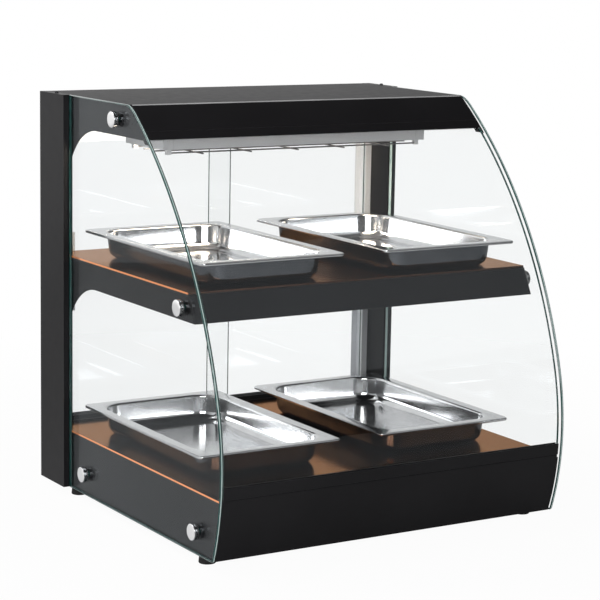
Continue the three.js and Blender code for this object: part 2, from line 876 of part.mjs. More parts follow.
// A sheathed heating coil that runs to and fro under a plate and ends in two tails at the back
function heatingCoil(height, front, rear) {
  const half = bodyEndX - coilMargin;
  const pitch = (2 * half) / (coilRuns - 1);
  const points = [new THREE.Vector3(-half, rear + coilTail, height)];
  for (let run = 0; run < coilRuns; run += 1) {
    const x = -half + run * pitch;
    const ends = run % 2 === 0 ? [rear, front] : [front, rear];
    if (run > 0) {
      points.push(new THREE.Vector3(x, ends[0], height));
    }
    if (run < coilRuns - 1) {
      points.push(new THREE.Vector3(x, ends[1], height));
    }
  }
  points.push(new THREE.Vector3(half, rear + coilTail, height));
  return bentRod(points, pitch * coilBendShare, coilDiameter, wireSides, coilRuns * coilStepsPerRun);
}

// Saddle strip welded under a plate, which holds every run of the coil up against it
function coilSaddles(height, plateUnderside) {
  const half = bodyEndX - coilMargin;
  const pitch = (2 * half) / (coilRuns - 1);
  const cradle = coilDiameter / 2 + seat;
  const wall = cradle + coilClampSheet;
  const weld = plateUnderside + plateThickness / 2;
  const wing = plateUnderside - coilClampSheet;
  const saddles = [];
  for (let run = 0; run < coilRuns; run += 1) {
    const x = -half + run * pitch;
    const outline = [
      [-wall - coilClampWing, weld], [-wall - coilClampWing, wing], [-wall, wing],
      [-wall, height - wall], [wall, height - wall], [wall, wing], [wall + coilClampWing, wing],
      [wall + coilClampWing, weld], [cradle, weld], [cradle, height - cradle],
      [-cradle, height - cradle], [-cradle, weld],
    ].map(([across, z]) => [x + across, z]);
    saddles.push(prismY(outline, -coilClampWidth / 2, coilClampWidth / 2));
  }
  return saddles;
}

const shelfCoilHeight = shelfTopHeight - plateThickness - seat - coilDiameter / 2;
const deckCoilHeight = deckHeight - plateThickness - seat - coilDiameter / 2;

// Rear panel with vents and cut-outs for the controls
function controlPanel() {
  const low = sheet + seat;
  const high = deckHeight - plateThickness - seat;
  const panel = block([-bodyEndX, panelY, low], [bodyEndX, panelY + sheet, high]);
  const cutters = [];
  for (let i = 0; i < ventCount; i += 1) {
    const x = ventMiddleX + (i - (ventCount - 1) / 2) * ventPitch;
    cutters.push(block(
      [x - ventLength / 2, panelY - cutOverrun, controlHeight - ventHeight / 2],
      [x + ventLength / 2, panelY + sheet + cutOverrun, controlHeight + ventHeight / 2],
    ));
  }
  for (const x of switchPlaces()) {
    const halfX = switchWidth / 2 - switchRim + seat;
    const halfZ = switchHeight / 2 - switchRim + seat;
    cutters.push(block(
      [x - halfX, panelY - cutOverrun, controlHeight - halfZ],
      [x + halfX, panelY + sheet + cutOverrun, controlHeight + halfZ],
    ));
  }
  const rounds = [
    [dialX, dialShaftDiameter + studClearance],
    [lampX, lampDiameter + 2 * seat],
    [glandX, glandThread + 2 * seat],
  ];
  for (const [x, diameter] of rounds) {
    cutters.push(bar(
      [x, panelY - cutOverrun, controlHeight],
      axisY,
      sheet + 2 * cutOverrun,
      diameter,
    ));
  }
  return without(panel, cutters);
}

function switchPlaces() {
  return [switchX - switchPitch / 2, switchX + switchPitch / 2];
}

const panelFace = panelY + sheet;
const switchWall = switchRim * 1.5;

// Twin switch frame: one rim on the panel and two open-fronted bodies behind it
function switchFrame() {
  const [firstX, lastX] = switchPlaces();
  const halfX = switchWidth / 2 - switchRim;
  const halfZ = switchHeight / 2 - switchRim;
  const rim = block(
    [firstX - switchWidth / 2, panelFace + seat, controlHeight - switchHeight / 2],
    [lastX + switchWidth / 2, panelFace + seat + switchFlange, controlHeight + switchHeight / 2],
  );
  const bodies = switchPlaces().map((x) => block(
    [x - halfX, panelY - switchBodyDepth, controlHeight - halfZ],
    [x + halfX, panelFace + 2 * seat, controlHeight + halfZ],
  ));
  const wellX = switchWidth / 2 - switchWall;
  const wellZ = switchHeight / 2 - switchWall;
  const wells = switchPlaces().map((x) => block(
    [x - wellX, panelY - rockerThickness, controlHeight - wellZ],
    [x + wellX, panelFace + cutOverrun, controlHeight + wellZ],
  ));
  return without(joined([rim, ...bodies]), wells);
}

// Rocker: a shallow V pressed in on one half, turning about the middle of its frame
function rockerOutline() {
  const half = switchHeight / 2 - switchWall - rockerRun;
  const rise = half * Math.tan(rockerTilt);
  const front = rockerThickness / 2;
  const back = rockerBackShares.map(([depth, height]) => [depth * rockerThickness, height * half]);
  return [...back, [front + rise, half], [front, 0], [front + rise, -half]];
}

function rocker() {
  const halfX = switchWidth / 2 - switchWall - rockerRun;
  return prismX(rockerOutline(), -halfX, halfX);
}

function thermostatBody() {
  const half = thermostatSize / 2;
  const back = panelY - seat - thermostatDepth;
  const body = block(
    [dialX - half, back, controlHeight - half],
    [dialX + half, panelY - seat, controlHeight + half],
  );
  const shaft = bar(
    [dialX, panelY - seat - cutOverrun, controlHeight],
    axisY,
    cutOverrun + seat + sheet + dialSkirtHeight,
    dialShaftDiameter,
  );
  return body.add(shaft);
}

// Dial: a fluted grip on a round skirt, bored for its shaft
function thermostatDial() {
  const skirt = dialSkirtDiameter / 2;
  const grip = dialDiameter / 2;
  const profile = [
    [0, 0], [skirt, 0], [skirt, dialSkirtHeight / 2], [grip, dialSkirtHeight],
    [grip - dialBevel, dialHeight], [0, dialHeight],
  ];
  const body = turned(profile, [0, 0, 0], axisY, 2 * dialFlutes);
  const flutes = [];
  for (let i = 0; i < dialFlutes; i += 1) {
    const angle = (2 * halfTurn * (i + 0.5)) / dialFlutes;
    flutes.push(bar(
      [grip * Math.cos(angle), dialSkirtHeight, grip * Math.sin(angle)],
      axisY,
      dialHeight,
      dialFluteDiameter,
      dialFluteSides,
    ));
  }
  const boreDepth = dialSkirtHeight + 2 * seat;
  const boreDiameter = dialShaftDiameter + 2 * seat;
  const bore = bar([0, -cutOverrun, 0], axisY, cutOverrun + boreDepth, boreDiameter);
  return without(body, [...flutes, bore]);
}

function pilotLamp() {
  const rim = lampRimDiameter / 2;
  const lens = lampDiameter / 2;
  const [shoulderShare, shoulderHeightShare] = lampShoulderShares;
  const profile = [
    [0, -switchBodyDepth / 2], [lens - seat, -switchBodyDepth / 2], [lens - seat, seat], [rim, seat],
    [rim, switchFlange], [lens, switchFlange],
    [lens * shoulderShare, lampHeight * shoulderHeightShare], [0, lampHeight],
  ];
  return turned(profile, [lampX, panelFace, controlHeight], axisY);
}

// Cable gland: threaded body, locknut, hexagon and dome with an open bore
function cableGland() {
  const dome = glandHexAcross / 2;
  const thread = bar(
    [glandX, panelFace - glandThreadLength, controlHeight],
    axisY,
    glandThreadLength + 2 * seat,
    glandThread,
  );
  const hexagonPlace = [glandX, panelFace + seat, controlHeight];
  const hexagon = hexagonBar(hexagonPlace, axisY, glandHexHeight, glandHexAcross);
  const rings = glandDomeShares.map(([across, along]) => [dome * across, glandDomeHeight * along]);
  const cap = turned(
    [[0, 0], ...rings, [0, glandDomeHeight]],
    [glandX, panelFace + glandHexHeight, controlHeight],
    axisY,
  );
  const bore = bar(
    [glandX, panelFace - glandThreadLength - cutOverrun, controlHeight],
    axisY,
    glandThreadLength + glandHexHeight + glandDomeHeight + 2 * cutOverrun,
    glandBore,
  );
  const locknut = hexagonBar(
    [glandX, panelY - seat - locknutHeight, controlHeight],
    axisY,
    locknutHeight,
    locknutAcross,
  );
  return joined([thread, hexagon, cap, locknut]).subtract(bore);
}

// Terminal block on the base plate, with a screw pocket above each way
function terminalBlock() {
  const x = glandX + terminalBlockLength / 2;
  const y = panelY - terminalBlockLength;
  const low = sheet + seat;
  const body = block(
    [x, y, low],
    [x + terminalBlockLength, y + terminalBlockDepth, low + terminalBlockHeight],
  );
  const pitch = terminalBlockLength / terminalWays;
  const pockets = [];
  for (let i = 0; i < terminalWays; i += 1) {
    pockets.push(bar(
      [x + pitch * (i + 0.5), y + terminalBlockDepth / 2, low + terminalBlockHeight / 2],
      axisZ,
      terminalBlockHeight,
      pitch * terminalPocketShare,
    ));
  }
  return without(body, pockets);
}

// One ring of a rounded rectangle at a height
function panRing(halfX, halfY, corner, z) {
  const ring = [];
  const quarters = [[1, 1], [-1, 1], [-1, -1], [1, -1]];
  quarters.forEach(([sx, sy], quarter) => {
    for (let i = 0; i < panCornerSteps; i += 1) {
      const angle = (halfTurn / 2) * (quarter + i / (panCornerSteps - 1));
      ring.push([
        sx * (halfX - corner) + corner * Math.cos(angle),
        sy * (halfY - corner) + corner * Math.sin(angle),
        z,
      ]);
    }
  });
  return ring;
}

// Food pan: drawn body with tapered walls, rounded floor edge and a flat flange
function foodPan() {
  const flangeX = panWidth / 2;
  const flangeY = panLength / 2;
  const wallX = flangeX - panFlange;
  const wallY = flangeY - panFlange;
  const bend = panFloorRadius * panBendShare;
  const ring = (inset, corner, z) => panRing(wallX - inset, wallY - inset, corner, z);
  const wall = (thickness) => {
    const inset = panTaper + thickness;
    const corner = panCorner - thickness;
    return [
      ring(inset + panFloorRadius, corner - panTaper - panFloorRadius / 2, thickness),
      ring(inset + bend, corner - panTaper, bend + thickness),
      ring(inset, corner - panTaper / 2, panFloorRadius),
    ];
  };
  return lofted([
    ...wall(0),
    ring(0, panCorner, panDepth - panSheet),
    panRing(flangeX, flangeY, panFlangeCorner, panDepth - panSheet),
    panRing(flangeX, flangeY, panFlangeCorner, panDepth),
    ring(panSheet, panCorner - panSheet, panDepth),
    ...wall(panSheet).reverse(),
  ]);
}

function footPlaces() {
  const x = halfWidth - footInset;
  const front = footFrontInset - rearY;
  const rear = rearY - footRearInset;
  return [[-x, front], [x, front], [-x, rear], [x, rear]];
}

// Foot: tapered rubber, with the screw that holds it sunk in its underside
function foot([x, y]) {
  const bottom = footDiameter / 2;
  const shank = footScrewDiameter / 2;
  const pocket = footPocketShare * footHeight - footHeight;
  const profile = [
    [0, pocket], [footPocketDiameter / 2, pocket], [footPocketDiameter / 2, -footHeight],
    [bottom - footBevel, -footHeight], [bottom, footBevel - footHeight],
    [footTopDiameter / 2, -seat], [shank, -seat], [shank, footScrewReach], [0, footScrewReach],
  ];
  return turned(profile, [x, y, 0], axisZ);
}

// Finishes
function finish(color, roughness, metalness, opacity = 1) {
  return new THREE.MeshStandardMaterial({
    color, roughness, metalness, opacity, transparent: opacity < 1,
  });
}

const blackPaint = () => finish(0x26262a, 0.45, 0.2);
const heatedSteel = () => finish(0x4a4038, 0.25, 0.8);
const stainless = () => finish(0xb9bcc0, 0.3, 1);
const chrome = () => finish(0xe8e8ea, 0.08, 1);
const aluminium = () => finish(0xc4c6c9, 0.35, 1);
const clearGlass = () => finish(0xd8ece6, 0.03, 0, 0.3);
const rubber = () => finish(0x151515, 0.9, 0);
const blackPlastic = () => finish(0x1a1a1c, 0.5, 0);
const ceramic = () => finish(0xe9e4d8, 0.6, 0);
const sheath = () => finish(0x6a5f55, 0.5, 0.7);

const body = new THREE.Group();
body.position.z = footHeight;

function addNode(name, solid, material, parent = body) {
  const mesh = new THREE.Mesh(geometryOf(solid), material);
  mesh.name = name;
  parent.add(mesh);
  return mesh;
}

const sides = [['left', -1], ['right', 1]];
const knobWords = ['canopy', 'shelf', 'base_rear', 'base_front'];

for (const [word, side] of sides) {
  addNode(`side_frame_${word}`, sideFrame(side), blackPaint());
  addNode(`rear_column_${word}`, rearColumn(side), blackPaint());
  addNode(`side_glass_${word}`, sideGlass(side), clearGlass());
  knobPlaces.forEach((place, i) => {
    addNode(`glass_knob_${knobWords[i]}_${word}`, knob(side, place), chrome());
  });
  addNode(`door_jamb_${word}`, doorJamb(side), aluminium());
  addNode(`rear_door_${word}`, rearDoor(side), clearGlass());
  addNode(`door_grip_${word}`, doorGrip(side), aluminium());
  addNode(`heater_cap_${word}`, heaterCap(side), stainless());
  addNode(`tube_socket_${word}`, tubeSocket(side), ceramic());
}

addNode('base_tray', baseTray(), blackPaint());
addNode('base_deck', baseDeck(), heatedSteel());
addNode('rear_control_panel', controlPanel(), stainless());
addNode('shelf_housing', shelfHousing(), blackPaint());
addNode('shelf_top_plate', shelfTopPlate(), heatedSteel());
addNode('canopy_cover', canopyCover(), blackPaint());
addNode('canopy_ceiling', canopyCeiling(), stainless());
addNode('front_glass', frontGlass(), clearGlass());
addNode('upper_glass_holder', upperHolder(), blackPaint());
addNode('lower_glass_holder', lowerHolder(), blackPaint());
addNode('upper_door_track', doorTrack(trackRoof, upperTrackHeight, false), aluminium());
addNode('lower_door_track', doorTrack(trackFloor, lowerTrackHeight, true), aluminium());

addNode('heater_trough', heaterTrough(), stainless());
addNode('heater_reflector', heaterReflector(), chrome());
tubePlaces().forEach((y, i) => {
  addNode(`quartz_tube_${['front', 'rear'][i]}`, heaterTube(y), ceramic());
});
addNode('wire_guard', wireGuard(), chrome());

const shelfCoil = heatingCoil(shelfCoilHeight, shelfFrontY + coilFrontInset, coilRear);
const deckCoil = heatingCoil(deckCoilHeight, deckFrontY + coilFrontInset, coilRear);
addNode('shelf_heating_coil', shelfCoil, sheath());
addNode('base_heating_coil', deckCoil, sheath());
addNode('thermostat_body', thermostatBody(), blackPlastic());
const dial = addNode('thermostat_dial', thermostatDial(), blackPlastic());
dial.position.set(dialX, panelFace + seat, controlHeight);
addNode('switch_frame', switchFrame(), blackPlastic());
switchPlaces().forEach((x, i) => {
  const word = ['lamp', 'heat'][i];
  const piece = addNode(`${word}_switch_rocker`, rocker(), blackPlastic());
  piece.position.set(x, panelFace, controlHeight);
  piece.rotation.x = rockerTilt;
});
addNode('pilot_lamp', pilotLamp(), blackPlastic());
addNode('cable_gland', cableGland(), blackPlastic());
addNode('terminal_block', terminalBlock(), ceramic());

for (const [level, floor] of [['upper', shelfTopHeight], ['lower', deckHeight]]) {
  for (const [word, side] of sides) {
    const pan = addNode(`food_pan_${level}_${word}`, foodPan(), stainless());
    pan.position.set(side * panCentreX, panCentreY, floor + seat);
  }
}

const footWords = ['front_left', 'front_right', 'rear_left', 'rear_right'];
footPlaces().forEach((place, i) => {
  addNode(`foot_${footWords[i]}`, foot(place), rubber());
});

const group = new THREE.Group();
group.add(body);

export default group;
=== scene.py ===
import json
import math

import bpy
from mathutils import Matrix, Vector


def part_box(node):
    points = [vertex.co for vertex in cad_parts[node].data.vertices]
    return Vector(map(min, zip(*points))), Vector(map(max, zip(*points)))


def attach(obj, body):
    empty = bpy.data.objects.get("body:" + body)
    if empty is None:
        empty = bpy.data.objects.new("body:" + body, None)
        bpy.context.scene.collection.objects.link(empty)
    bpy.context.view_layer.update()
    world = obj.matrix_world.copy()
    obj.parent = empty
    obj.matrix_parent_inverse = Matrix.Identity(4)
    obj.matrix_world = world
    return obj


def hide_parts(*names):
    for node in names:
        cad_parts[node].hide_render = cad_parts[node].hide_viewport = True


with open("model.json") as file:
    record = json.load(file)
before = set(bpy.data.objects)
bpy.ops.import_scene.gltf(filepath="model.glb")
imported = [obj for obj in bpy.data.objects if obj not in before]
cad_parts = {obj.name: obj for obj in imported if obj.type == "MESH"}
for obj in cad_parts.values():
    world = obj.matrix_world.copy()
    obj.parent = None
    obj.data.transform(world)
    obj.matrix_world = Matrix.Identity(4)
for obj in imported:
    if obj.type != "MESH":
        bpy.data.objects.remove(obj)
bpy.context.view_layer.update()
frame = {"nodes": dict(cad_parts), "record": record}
nodes = frame["nodes"]

MM = 0.001

# Sizes in millimetres, as in the solids. Heights are above the underside of the base, which
# stands FOOT above the floor. An inset is a distance inward from the front curve. GAP is the
# room between pieces that meet, and play is the room for a pane in its groove.
FOOT = 16.0
GAP = 0.3
REAR_Y = 317.0
LOWER_BEND, BEND_HEIGHT, JOIN_ANGLE = 421.0, 139.0, math.radians(15.2)
CANOPY_DEPTH, BODY_HEIGHT = 323.1, 683.0
COLUMN_FRONT = 222.0
FRAME_OUTER, FRAME_INNER, BODY_END = 325.0, 323.0, 322.7
GLASS_INNER, GLASS_OUTER = 325.5, 330.5
FRAME_INSET, FRAME_REAR = 3.5, 315.5
BASE, DECK_ARM, SHELF_LOW, SHELF_ARM = 102.0, 96.9, 361.4, 404.4
SHELF_MIDDLE, SHELF_INSET = (SHELF_LOW + SHELF_ARM) / 2, 38
CEILING, FASCIA_FOOT, SHEET = 629.2, 644.0, 1.5
PANE, PANE_INSET, PANE_PLAY = 5, 4, 0.6
HOLDER_INSET, HOLDER_WALL, HOLDER_FLOOR, GROOVE_PLAY = 2, 1.6, 2.5, 1.1
TOP_STRIP, BOTTOM_STRIP = 12, 19
PANEL_FACE, CONTROL_Z = 293.5, 56.1
DIAL_X, SWITCH_X, LAMP_X = 190.0, 110, 30.0

# The front curve is two arcs that meet smoothly at (JOIN_Y, JOIN_H). The lower arc has the
# radius LOWER_BEND around (LOWER_Y, BEND_HEIGHT), and the upper arc has the radius UPPER_BEND
# around (UPPER_Y, UPPER_H).
LOWER_Y = LOWER_BEND - REAR_Y
JOIN_Y = LOWER_Y - LOWER_BEND * math.cos(JOIN_ANGLE)
JOIN_H = BEND_HEIGHT + LOWER_BEND * math.sin(JOIN_ANGLE)
RUN, RISE = REAR_Y - CANOPY_DEPTH - JOIN_Y, BODY_HEIGHT - JOIN_H
UPPER_BEND = (RUN ** 2 + RISE ** 2) / (
    2 * (RUN * math.cos(JOIN_ANGLE) - RISE * math.sin(JOIN_ANGLE)))
UPPER_Y = JOIN_Y + UPPER_BEND * math.cos(JOIN_ANGLE)
UPPER_H = JOIN_H - UPPER_BEND * math.sin(JOIN_ANGLE)


def front_y(height, inset):
    if height < JOIN_H - inset * math.sin(JOIN_ANGLE):
        return LOWER_Y - math.sqrt((LOWER_BEND - inset) ** 2 - (height - BEND_HEIGHT) ** 2)
    return UPPER_Y - math.sqrt((UPPER_BEND - inset) ** 2 - (height - UPPER_H) ** 2)


def front_line(inset, low, high, steps):
    heights = [low + (high - low) * i / steps for i in range(steps + 1)]
    return [(front_y(height, inset), height) for height in heights]


# Knob places, as in the solids: (y, z)
BASE_KNOB_Z = BASE * 0.37
KNOBS = {
    "canopy": (front_y(BODY_HEIGHT, 0) + 49, (CEILING + BODY_HEIGHT) / 2),
    "shelf": (front_y(SHELF_MIDDLE, SHELF_INSET) + 24.5, SHELF_MIDDLE),
    "base_rear": (COLUMN_FRONT - 67, BASE_KNOB_Z),
    "base_front": (front_y(BASE_KNOB_Z, 0) + 64, BASE_KNOB_Z),
}
SIDES = (("left", -1), ("right", 1))

# Materials

EDGE_REACH = 0.8 * MM
# The colour sockets of a Mix node have the names of its other sockets, so they go by number
MIX_A, MIX_B, MIX_RESULT = 6, 7, 2


class Tree:
    """A node tree with short ways to add nodes and to set or link their inputs."""

    def __init__(self, tree):
        self.tree = tree

    def feed(self, socket, value):
        if isinstance(value, bpy.types.NodeSocket):
            self.tree.links.new(value, socket)
        else:
            socket.default_value = value

    def add(self, kind, inputs=None, **settings):
        node = self.tree.nodes.new(kind)
        for key, value in settings.items():
            setattr(node, key, value)
        for key, value in (inputs or {}).items():
            self.feed(node.inputs[key], value)
        return node

    def calc(self, operation, *values):
        node = self.add("ShaderNodeMath", dict(enumerate(values)), operation=operation)
        return node.outputs["Value"]

    def spread(self, value, low, high, start=0.0, end=1.0, **settings):
        """The value carried from the range start to end over to the range low to high."""
        inputs = {"Value": value, "From Min": start, "From Max": end, "To Min": low, "To Max": high}
        return self.add("ShaderNodeMapRange", inputs, **settings).outputs["Result"]

    def mix(self, share, first, second):
        return self.add("ShaderNodeMixShader", {0: share, 1: first, 2: second}).outputs["Shader"]

    def camera_ray(self):
        return self.add("ShaderNodeLightPath").outputs["Is Camera Ray"]


class Surface(Tree):
    """A material with one principled shader and short ways to feed it."""

    def __init__(self, name):
        self.material = bpy.data.materials.new(name)
        self.material.use_nodes = True
        super().__init__(self.material.node_tree)
        self.shader = self.tree.nodes["Principled BSDF"]
        self.place = self.add("ShaderNodeTexCoord").outputs["Object"]

    def show(self, shader):
        self.feed(self.tree.nodes["Material Output"].inputs["Surface"], shader)

    def set(self, **values):
        for key, value in values.items():
            self.feed(self.shader.inputs[key.replace("_", " ")], value)

    def stretched(self, scale):
        mapping = self.add("ShaderNodeMapping", {"Vector": self.place, "Scale": scale})
        return mapping.outputs["Vector"]

    def noise(self, scale, detail=3.0, rough=0.5, vector=None):
        inputs = {"Scale": scale, "Detail": detail, "Roughness": rough,
                  "Vector": vector or self.place}
        return self.add("ShaderNodeTexNoise", inputs).outputs["Fac"]

    def edges(self):
        """How near an outer edge a point is, broken up by noise so that the wear is uneven."""
        soft = self.add("ShaderNodeBevel", {"Radius": EDGE_REACH}, samples=4)
        surface = self.add("ShaderNodeNewGeometry")
        normals = {0: soft.outputs["Normal"], 1: surface.outputs["Normal"]}
        match = self.add("ShaderNodeVectorMath", normals, operation="DOT_PRODUCT")
        near = self.spread(match.outputs["Value"], 0.0, 1.0, 0.997, 0.86)
        patches = self.spread(self.noise(35.0, 4.0), 0.1, 1.1)
        return self.calc("MULTIPLY", near, patches)

    def sides(self):
        """One on faces that look left or right, zero on the others."""
        surface = self.add("ShaderNodeNewGeometry")
        parts = self.add("ShaderNodeSeparateXYZ", {"Vector": surface.outputs["Normal"]})
        across = self.calc("ABSOLUTE", parts.outputs["X"])
        return self.spread(across, 0.0, 1.0, 0.45, 0.85)

    def colour(self, value, stops, wear_and_highlight=None, where=None):
        """A blend of two colours, with a third one at edges that wear, or where it is told; the
        plate gives it there for a painted highlight.
        """
        ramp = self.add("ShaderNodeValToRGB", {"Fac": value})
        for element, (at, colour) in zip(ramp.color_ramp.elements, stops):
            element.position = at
            element.color = (*colour, 1)
        shade = ramp.outputs["Color"]
        if wear_and_highlight:
            inputs = {"Factor": where or self.edges(), MIX_A: shade, MIX_B: (*wear_and_highlight, 1)}
            shade = self.add("ShaderNodeMix", inputs, data_type="RGBA").outputs[MIX_RESULT]
        self.set(Base_Color=shade)

    def rough(self, value, low, high):
        self.set(Roughness=self.spread(value, low, high))

    def bump(self, value, strength, distance):
        inputs = {"Strength": strength, "Distance": distance, "Height": value}
        self.set(Normal=self.add("ShaderNodeBump", inputs).outputs["Normal"])


def brushed(name, dark, pale, rough, grain, metallic, strength, wear_and_highlight=None):
    s = Surface(name)
    lines = s.noise(1.0, 4.0, 0.6, s.stretched(grain))
    s.set(Metallic=metallic)
    s.colour(lines, [(0.3, dark), (0.7, pale)], wear_and_highlight)
    s.rough(s.noise(22.0), *rough)
    s.bump(lines, strength, 0.00006)
    return s.material


def paint_material(name, specular, wear_and_highlight):
    s = Surface(name)
    s.set(Specular_IOR_Level=specular, Specular_Tint=(0.95, 0.97, 1.0, 1))
    s.colour(s.noise(5.0, 4.0),
             [(0.35, (0.0074, 0.0070, 0.0078)), (0.65, (0.0102, 0.0097, 0.0107))], wear_and_highlight)
    s.rough(s.noise(60.0), 0.34, 0.44)
    s.bump(s.noise(2200.0, 2.0), 0.008, 0.00003)
    return s.material


def plate_material():
    """A dark bronze mirror; its tint is partly painted warm reflection, and its cut ends carry a
    painted orange highlight and glow.
    """
    s = Surface("heated_plate_bronze_painted_glow")
    # The warm bronze tint and orange specular tint are partly the plate's own colour and partly a
    # painted warm reflection.
    s.set(Metallic=1.0, Specular_Tint=(1.0, 0.70, 0.51, 1), Emission_Color=(1.0, 0.34, 0.125, 1))
    # Painted highlight and painted glow: the cut ends that look left or right get a bright orange
    # colour and emit orange light, though they are no lamp.
    side = s.sides()
    s.colour(s.noise(3.2), [(0.32, (0.15, 0.078, 0.052)), (0.68, (0.20, 0.105, 0.070))],
             (1.0, 0.48, 0.24), side)
    s.set(Emission_Strength=s.spread(side, 0.0, 0.35))
    s.rough(s.noise(1.0, 2.0, 0.5, s.stretched((4, 60, 60))), 0.13, 0.20)
    s.bump(s.noise(14.0, 2.0), 0.03, 0.0004)
    return s.material


def glass_material():
    """Clear glass that lets light straight through, and mirrors more the more it is slanted."""
    s = Surface("pane_glass")
    s.set(Metallic=1.0)
    s.colour(s.noise(3.0), [(0.3, (0.86, 0.92, 0.97)), (0.7, (0.90, 0.95, 0.99))])
    s.rough(s.noise(7.0, 5.0, 0.65), 0.0, 0.03)
    clear = s.add("ShaderNodeBsdfTransparent", {"Color": (0.991, 0.995, 0.995, 1)})
    facing = s.add("ShaderNodeLayerWeight", {"Blend": 0.5})
    gloss = s.spread(s.calc("POWER", facing.outputs["Facing"], 6.0), 0.02, 1.0)
    s.show(s.mix(gloss, clear.outputs["BSDF"], s.shader.outputs["BSDF"]))
    return s.material


def smooth_material(name, dark, pale, scale, rough_noise, **values):
    s = Surface(name)
    s.set(**values)
    s.colour(s.noise(scale), [(0.3, dark), (0.7, pale)])
    s.rough(s.noise(*rough_noise), 0.08, 0.20)
    return s.material


def plain_material(name, dark, pale, rough, grain, strength=0.1, depth=0.00008, **values):
    s = Surface(name)
    s.set(**values)
    s.colour(s.noise(14.0, 4.0), [(0.35, dark), (0.65, pale)])
    s.rough(s.noise(70.0), *rough)
    s.bump(s.noise(grain), strength, depth)
    return s.material


WORN_PAINT = (0.060, 0.059, 0.063)
PAINT = paint_material("black_powder_coat", 0.19, WORN_PAINT)
HOOD_PAINT = paint_material("black_powder_coat_hood", 0.05, WORN_PAINT)
TRACK = paint_material("black_anodised_track", 0.19, (0.30, 0.30, 0.31))
PLATE = plate_material()
GLASS = glass_material()
# The finish of ground glass edges
GROUND = {"scale": 40.0, "rough_noise": (180.0, 2.0), "Coat_Weight": 0.7, "Coat_Roughness": 0.04}
EDGE = smooth_material("glass_edge_green", (0.004, 0.032, 0.029), (0.013, 0.070, 0.062), **GROUND)
PALE_EDGE = smooth_material("glass_edge_pale", (0.42, 0.56, 0.54), (0.60, 0.72, 0.70), **GROUND)
STEEL = brushed("stainless_satin", (0.67, 0.675, 0.685), (0.73, 0.735, 0.745),
                rough=(0.26, 0.34), grain=(3, 160, 160), metallic=0.4, strength=0.008,
                wear_and_highlight=(0.85, 0.85, 0.86))
HEATER_STEEL = brushed("heater_steel", (0.76, 0.77, 0.79), (0.82, 0.83, 0.85),
                       rough=(0.34, 0.40), grain=(3, 40, 40), metallic=0.3, strength=0.005)
PAN_STEEL = brushed("pan_steel", (0.66, 0.665, 0.675), (0.74, 0.745, 0.755),
                    rough=(0.09, 0.17), grain=(30, 30, 30), metallic=1.0, strength=0.02,
                    wear_and_highlight=(0.93, 0.93, 0.94))
# Painted shade: a darkened copy of the pan steel for the pans' outsides, standing in for the dark
# surroundings they reflect.
PAN_STEEL_PAINTED_SHADE = brushed("pan_steel_painted_shade", (0.10, 0.107, 0.118), (0.145, 0.153, 0.166),
                      rough=(0.10, 0.19), grain=(30, 30, 30), metallic=1.0, strength=0.02)
CHROME = brushed("polished_chrome", (0.93, 0.93, 0.94), (0.98, 0.98, 0.985),
                 rough=(0.03, 0.09), grain=(60, 60, 60), metallic=1.0, strength=0.01)
ALUMINIUM = brushed("satin_aluminium", (0.74, 0.75, 0.77), (0.84, 0.85, 0.87),
                    rough=(0.26, 0.36), grain=(500, 500, 5), metallic=0.3, strength=0.06,
                    wear_and_highlight=(0.92, 0.92, 0.93))
# The knob's face is a copy of the chrome made partly matt white so that it reads lit, which is
# painted light; its side is a darkened copy, painted shade for the dark things it reflects.
KNOB_FACE = brushed("knob_face_chrome", (0.93, 0.93, 0.94), (0.98, 0.98, 0.985),
                    rough=(0.10, 0.18), grain=(60, 60, 60), metallic=0.6, strength=0.01)
KNOB_SIDE_PAINTED_SHADE = brushed("knob_side_chrome_painted_shade", (0.26, 0.265, 0.27), (0.34, 0.345, 0.35),
                    rough=(0.12, 0.20), grain=(60, 60, 60), metallic=1.0, strength=0.01)
QUARTZ = smooth_material("quartz_tube_milky", (0.62, 0.57, 0.50), (0.82, 0.79, 0.74),
                         scale=60.0, rough_noise=(300.0,), Transmission_Weight=0.25)
WIRE = brushed("guard_wire", (0.15, 0.15, 0.155), (0.22, 0.22, 0.225),
               rough=(0.28, 0.38), grain=(60, 60, 60), metallic=0.5, strength=0.02)
CERAMIC = plain_material("glazed_ceramic", (0.66, 0.63, 0.55), (0.80, 0.78, 0.71),
                         rough=(0.25, 0.45), grain=500.0)
SHEATH = plain_material("coil_sheath", (0.07, 0.055, 0.045), (0.16, 0.12, 0.09),
                        rough=(0.35, 0.55), grain=700.0, Metallic=0.8)
PLASTIC = plain_material("black_plastic", (0.012, 0.012, 0.013), (0.022, 0.022, 0.024),
                         rough=(0.34, 0.48), grain=1800.0, strength=0.2)
RED = plain_material("red_plastic", (0.42, 0.012, 0.008), (0.55, 0.02, 0.012),
                     rough=(0.12, 0.22), grain=900.0, strength=0.03)
AMBER = plain_material("amber_lens", (0.62, 0.20, 0.012), (0.80, 0.32, 0.03),
                       rough=(0.06, 0.14), grain=400.0, strength=0.05)
RUBBER = plain_material("foot_rubber", (0.012, 0.012, 0.012), (0.026, 0.026, 0.026),
                        rough=(0.65, 0.85), grain=1200.0, strength=0.35, depth=0.00015)
MARK = plain_material("white_print", (0.72, 0.72, 0.70), (0.84, 0.84, 0.82),
                      rough=(0.4, 0.55), grain=900.0, strength=0.05)
# A painted highlight: a pale grey line on the hood's front bend where light catches the edge.
HOOD_EDGE_PAINTED_HIGHLIGHT = plain_material("hood_edge_painted_highlight", (0.27, 0.27, 0.275), (0.36, 0.36, 0.365),
                        rough=(0.25, 0.35), grain=300.0, strength=0.03)
INK = plain_material("black_print", (0.010, 0.010, 0.011), (0.020, 0.020, 0.021),
                     rough=(0.4, 0.55), grain=900.0, strength=0.05)
DARK_STEEL = plain_material("blackened_screw", (0.02, 0.02, 0.022), (0.05, 0.05, 0.053),
                            rough=(0.25, 0.4), grain=900.0, Metallic=0.9)

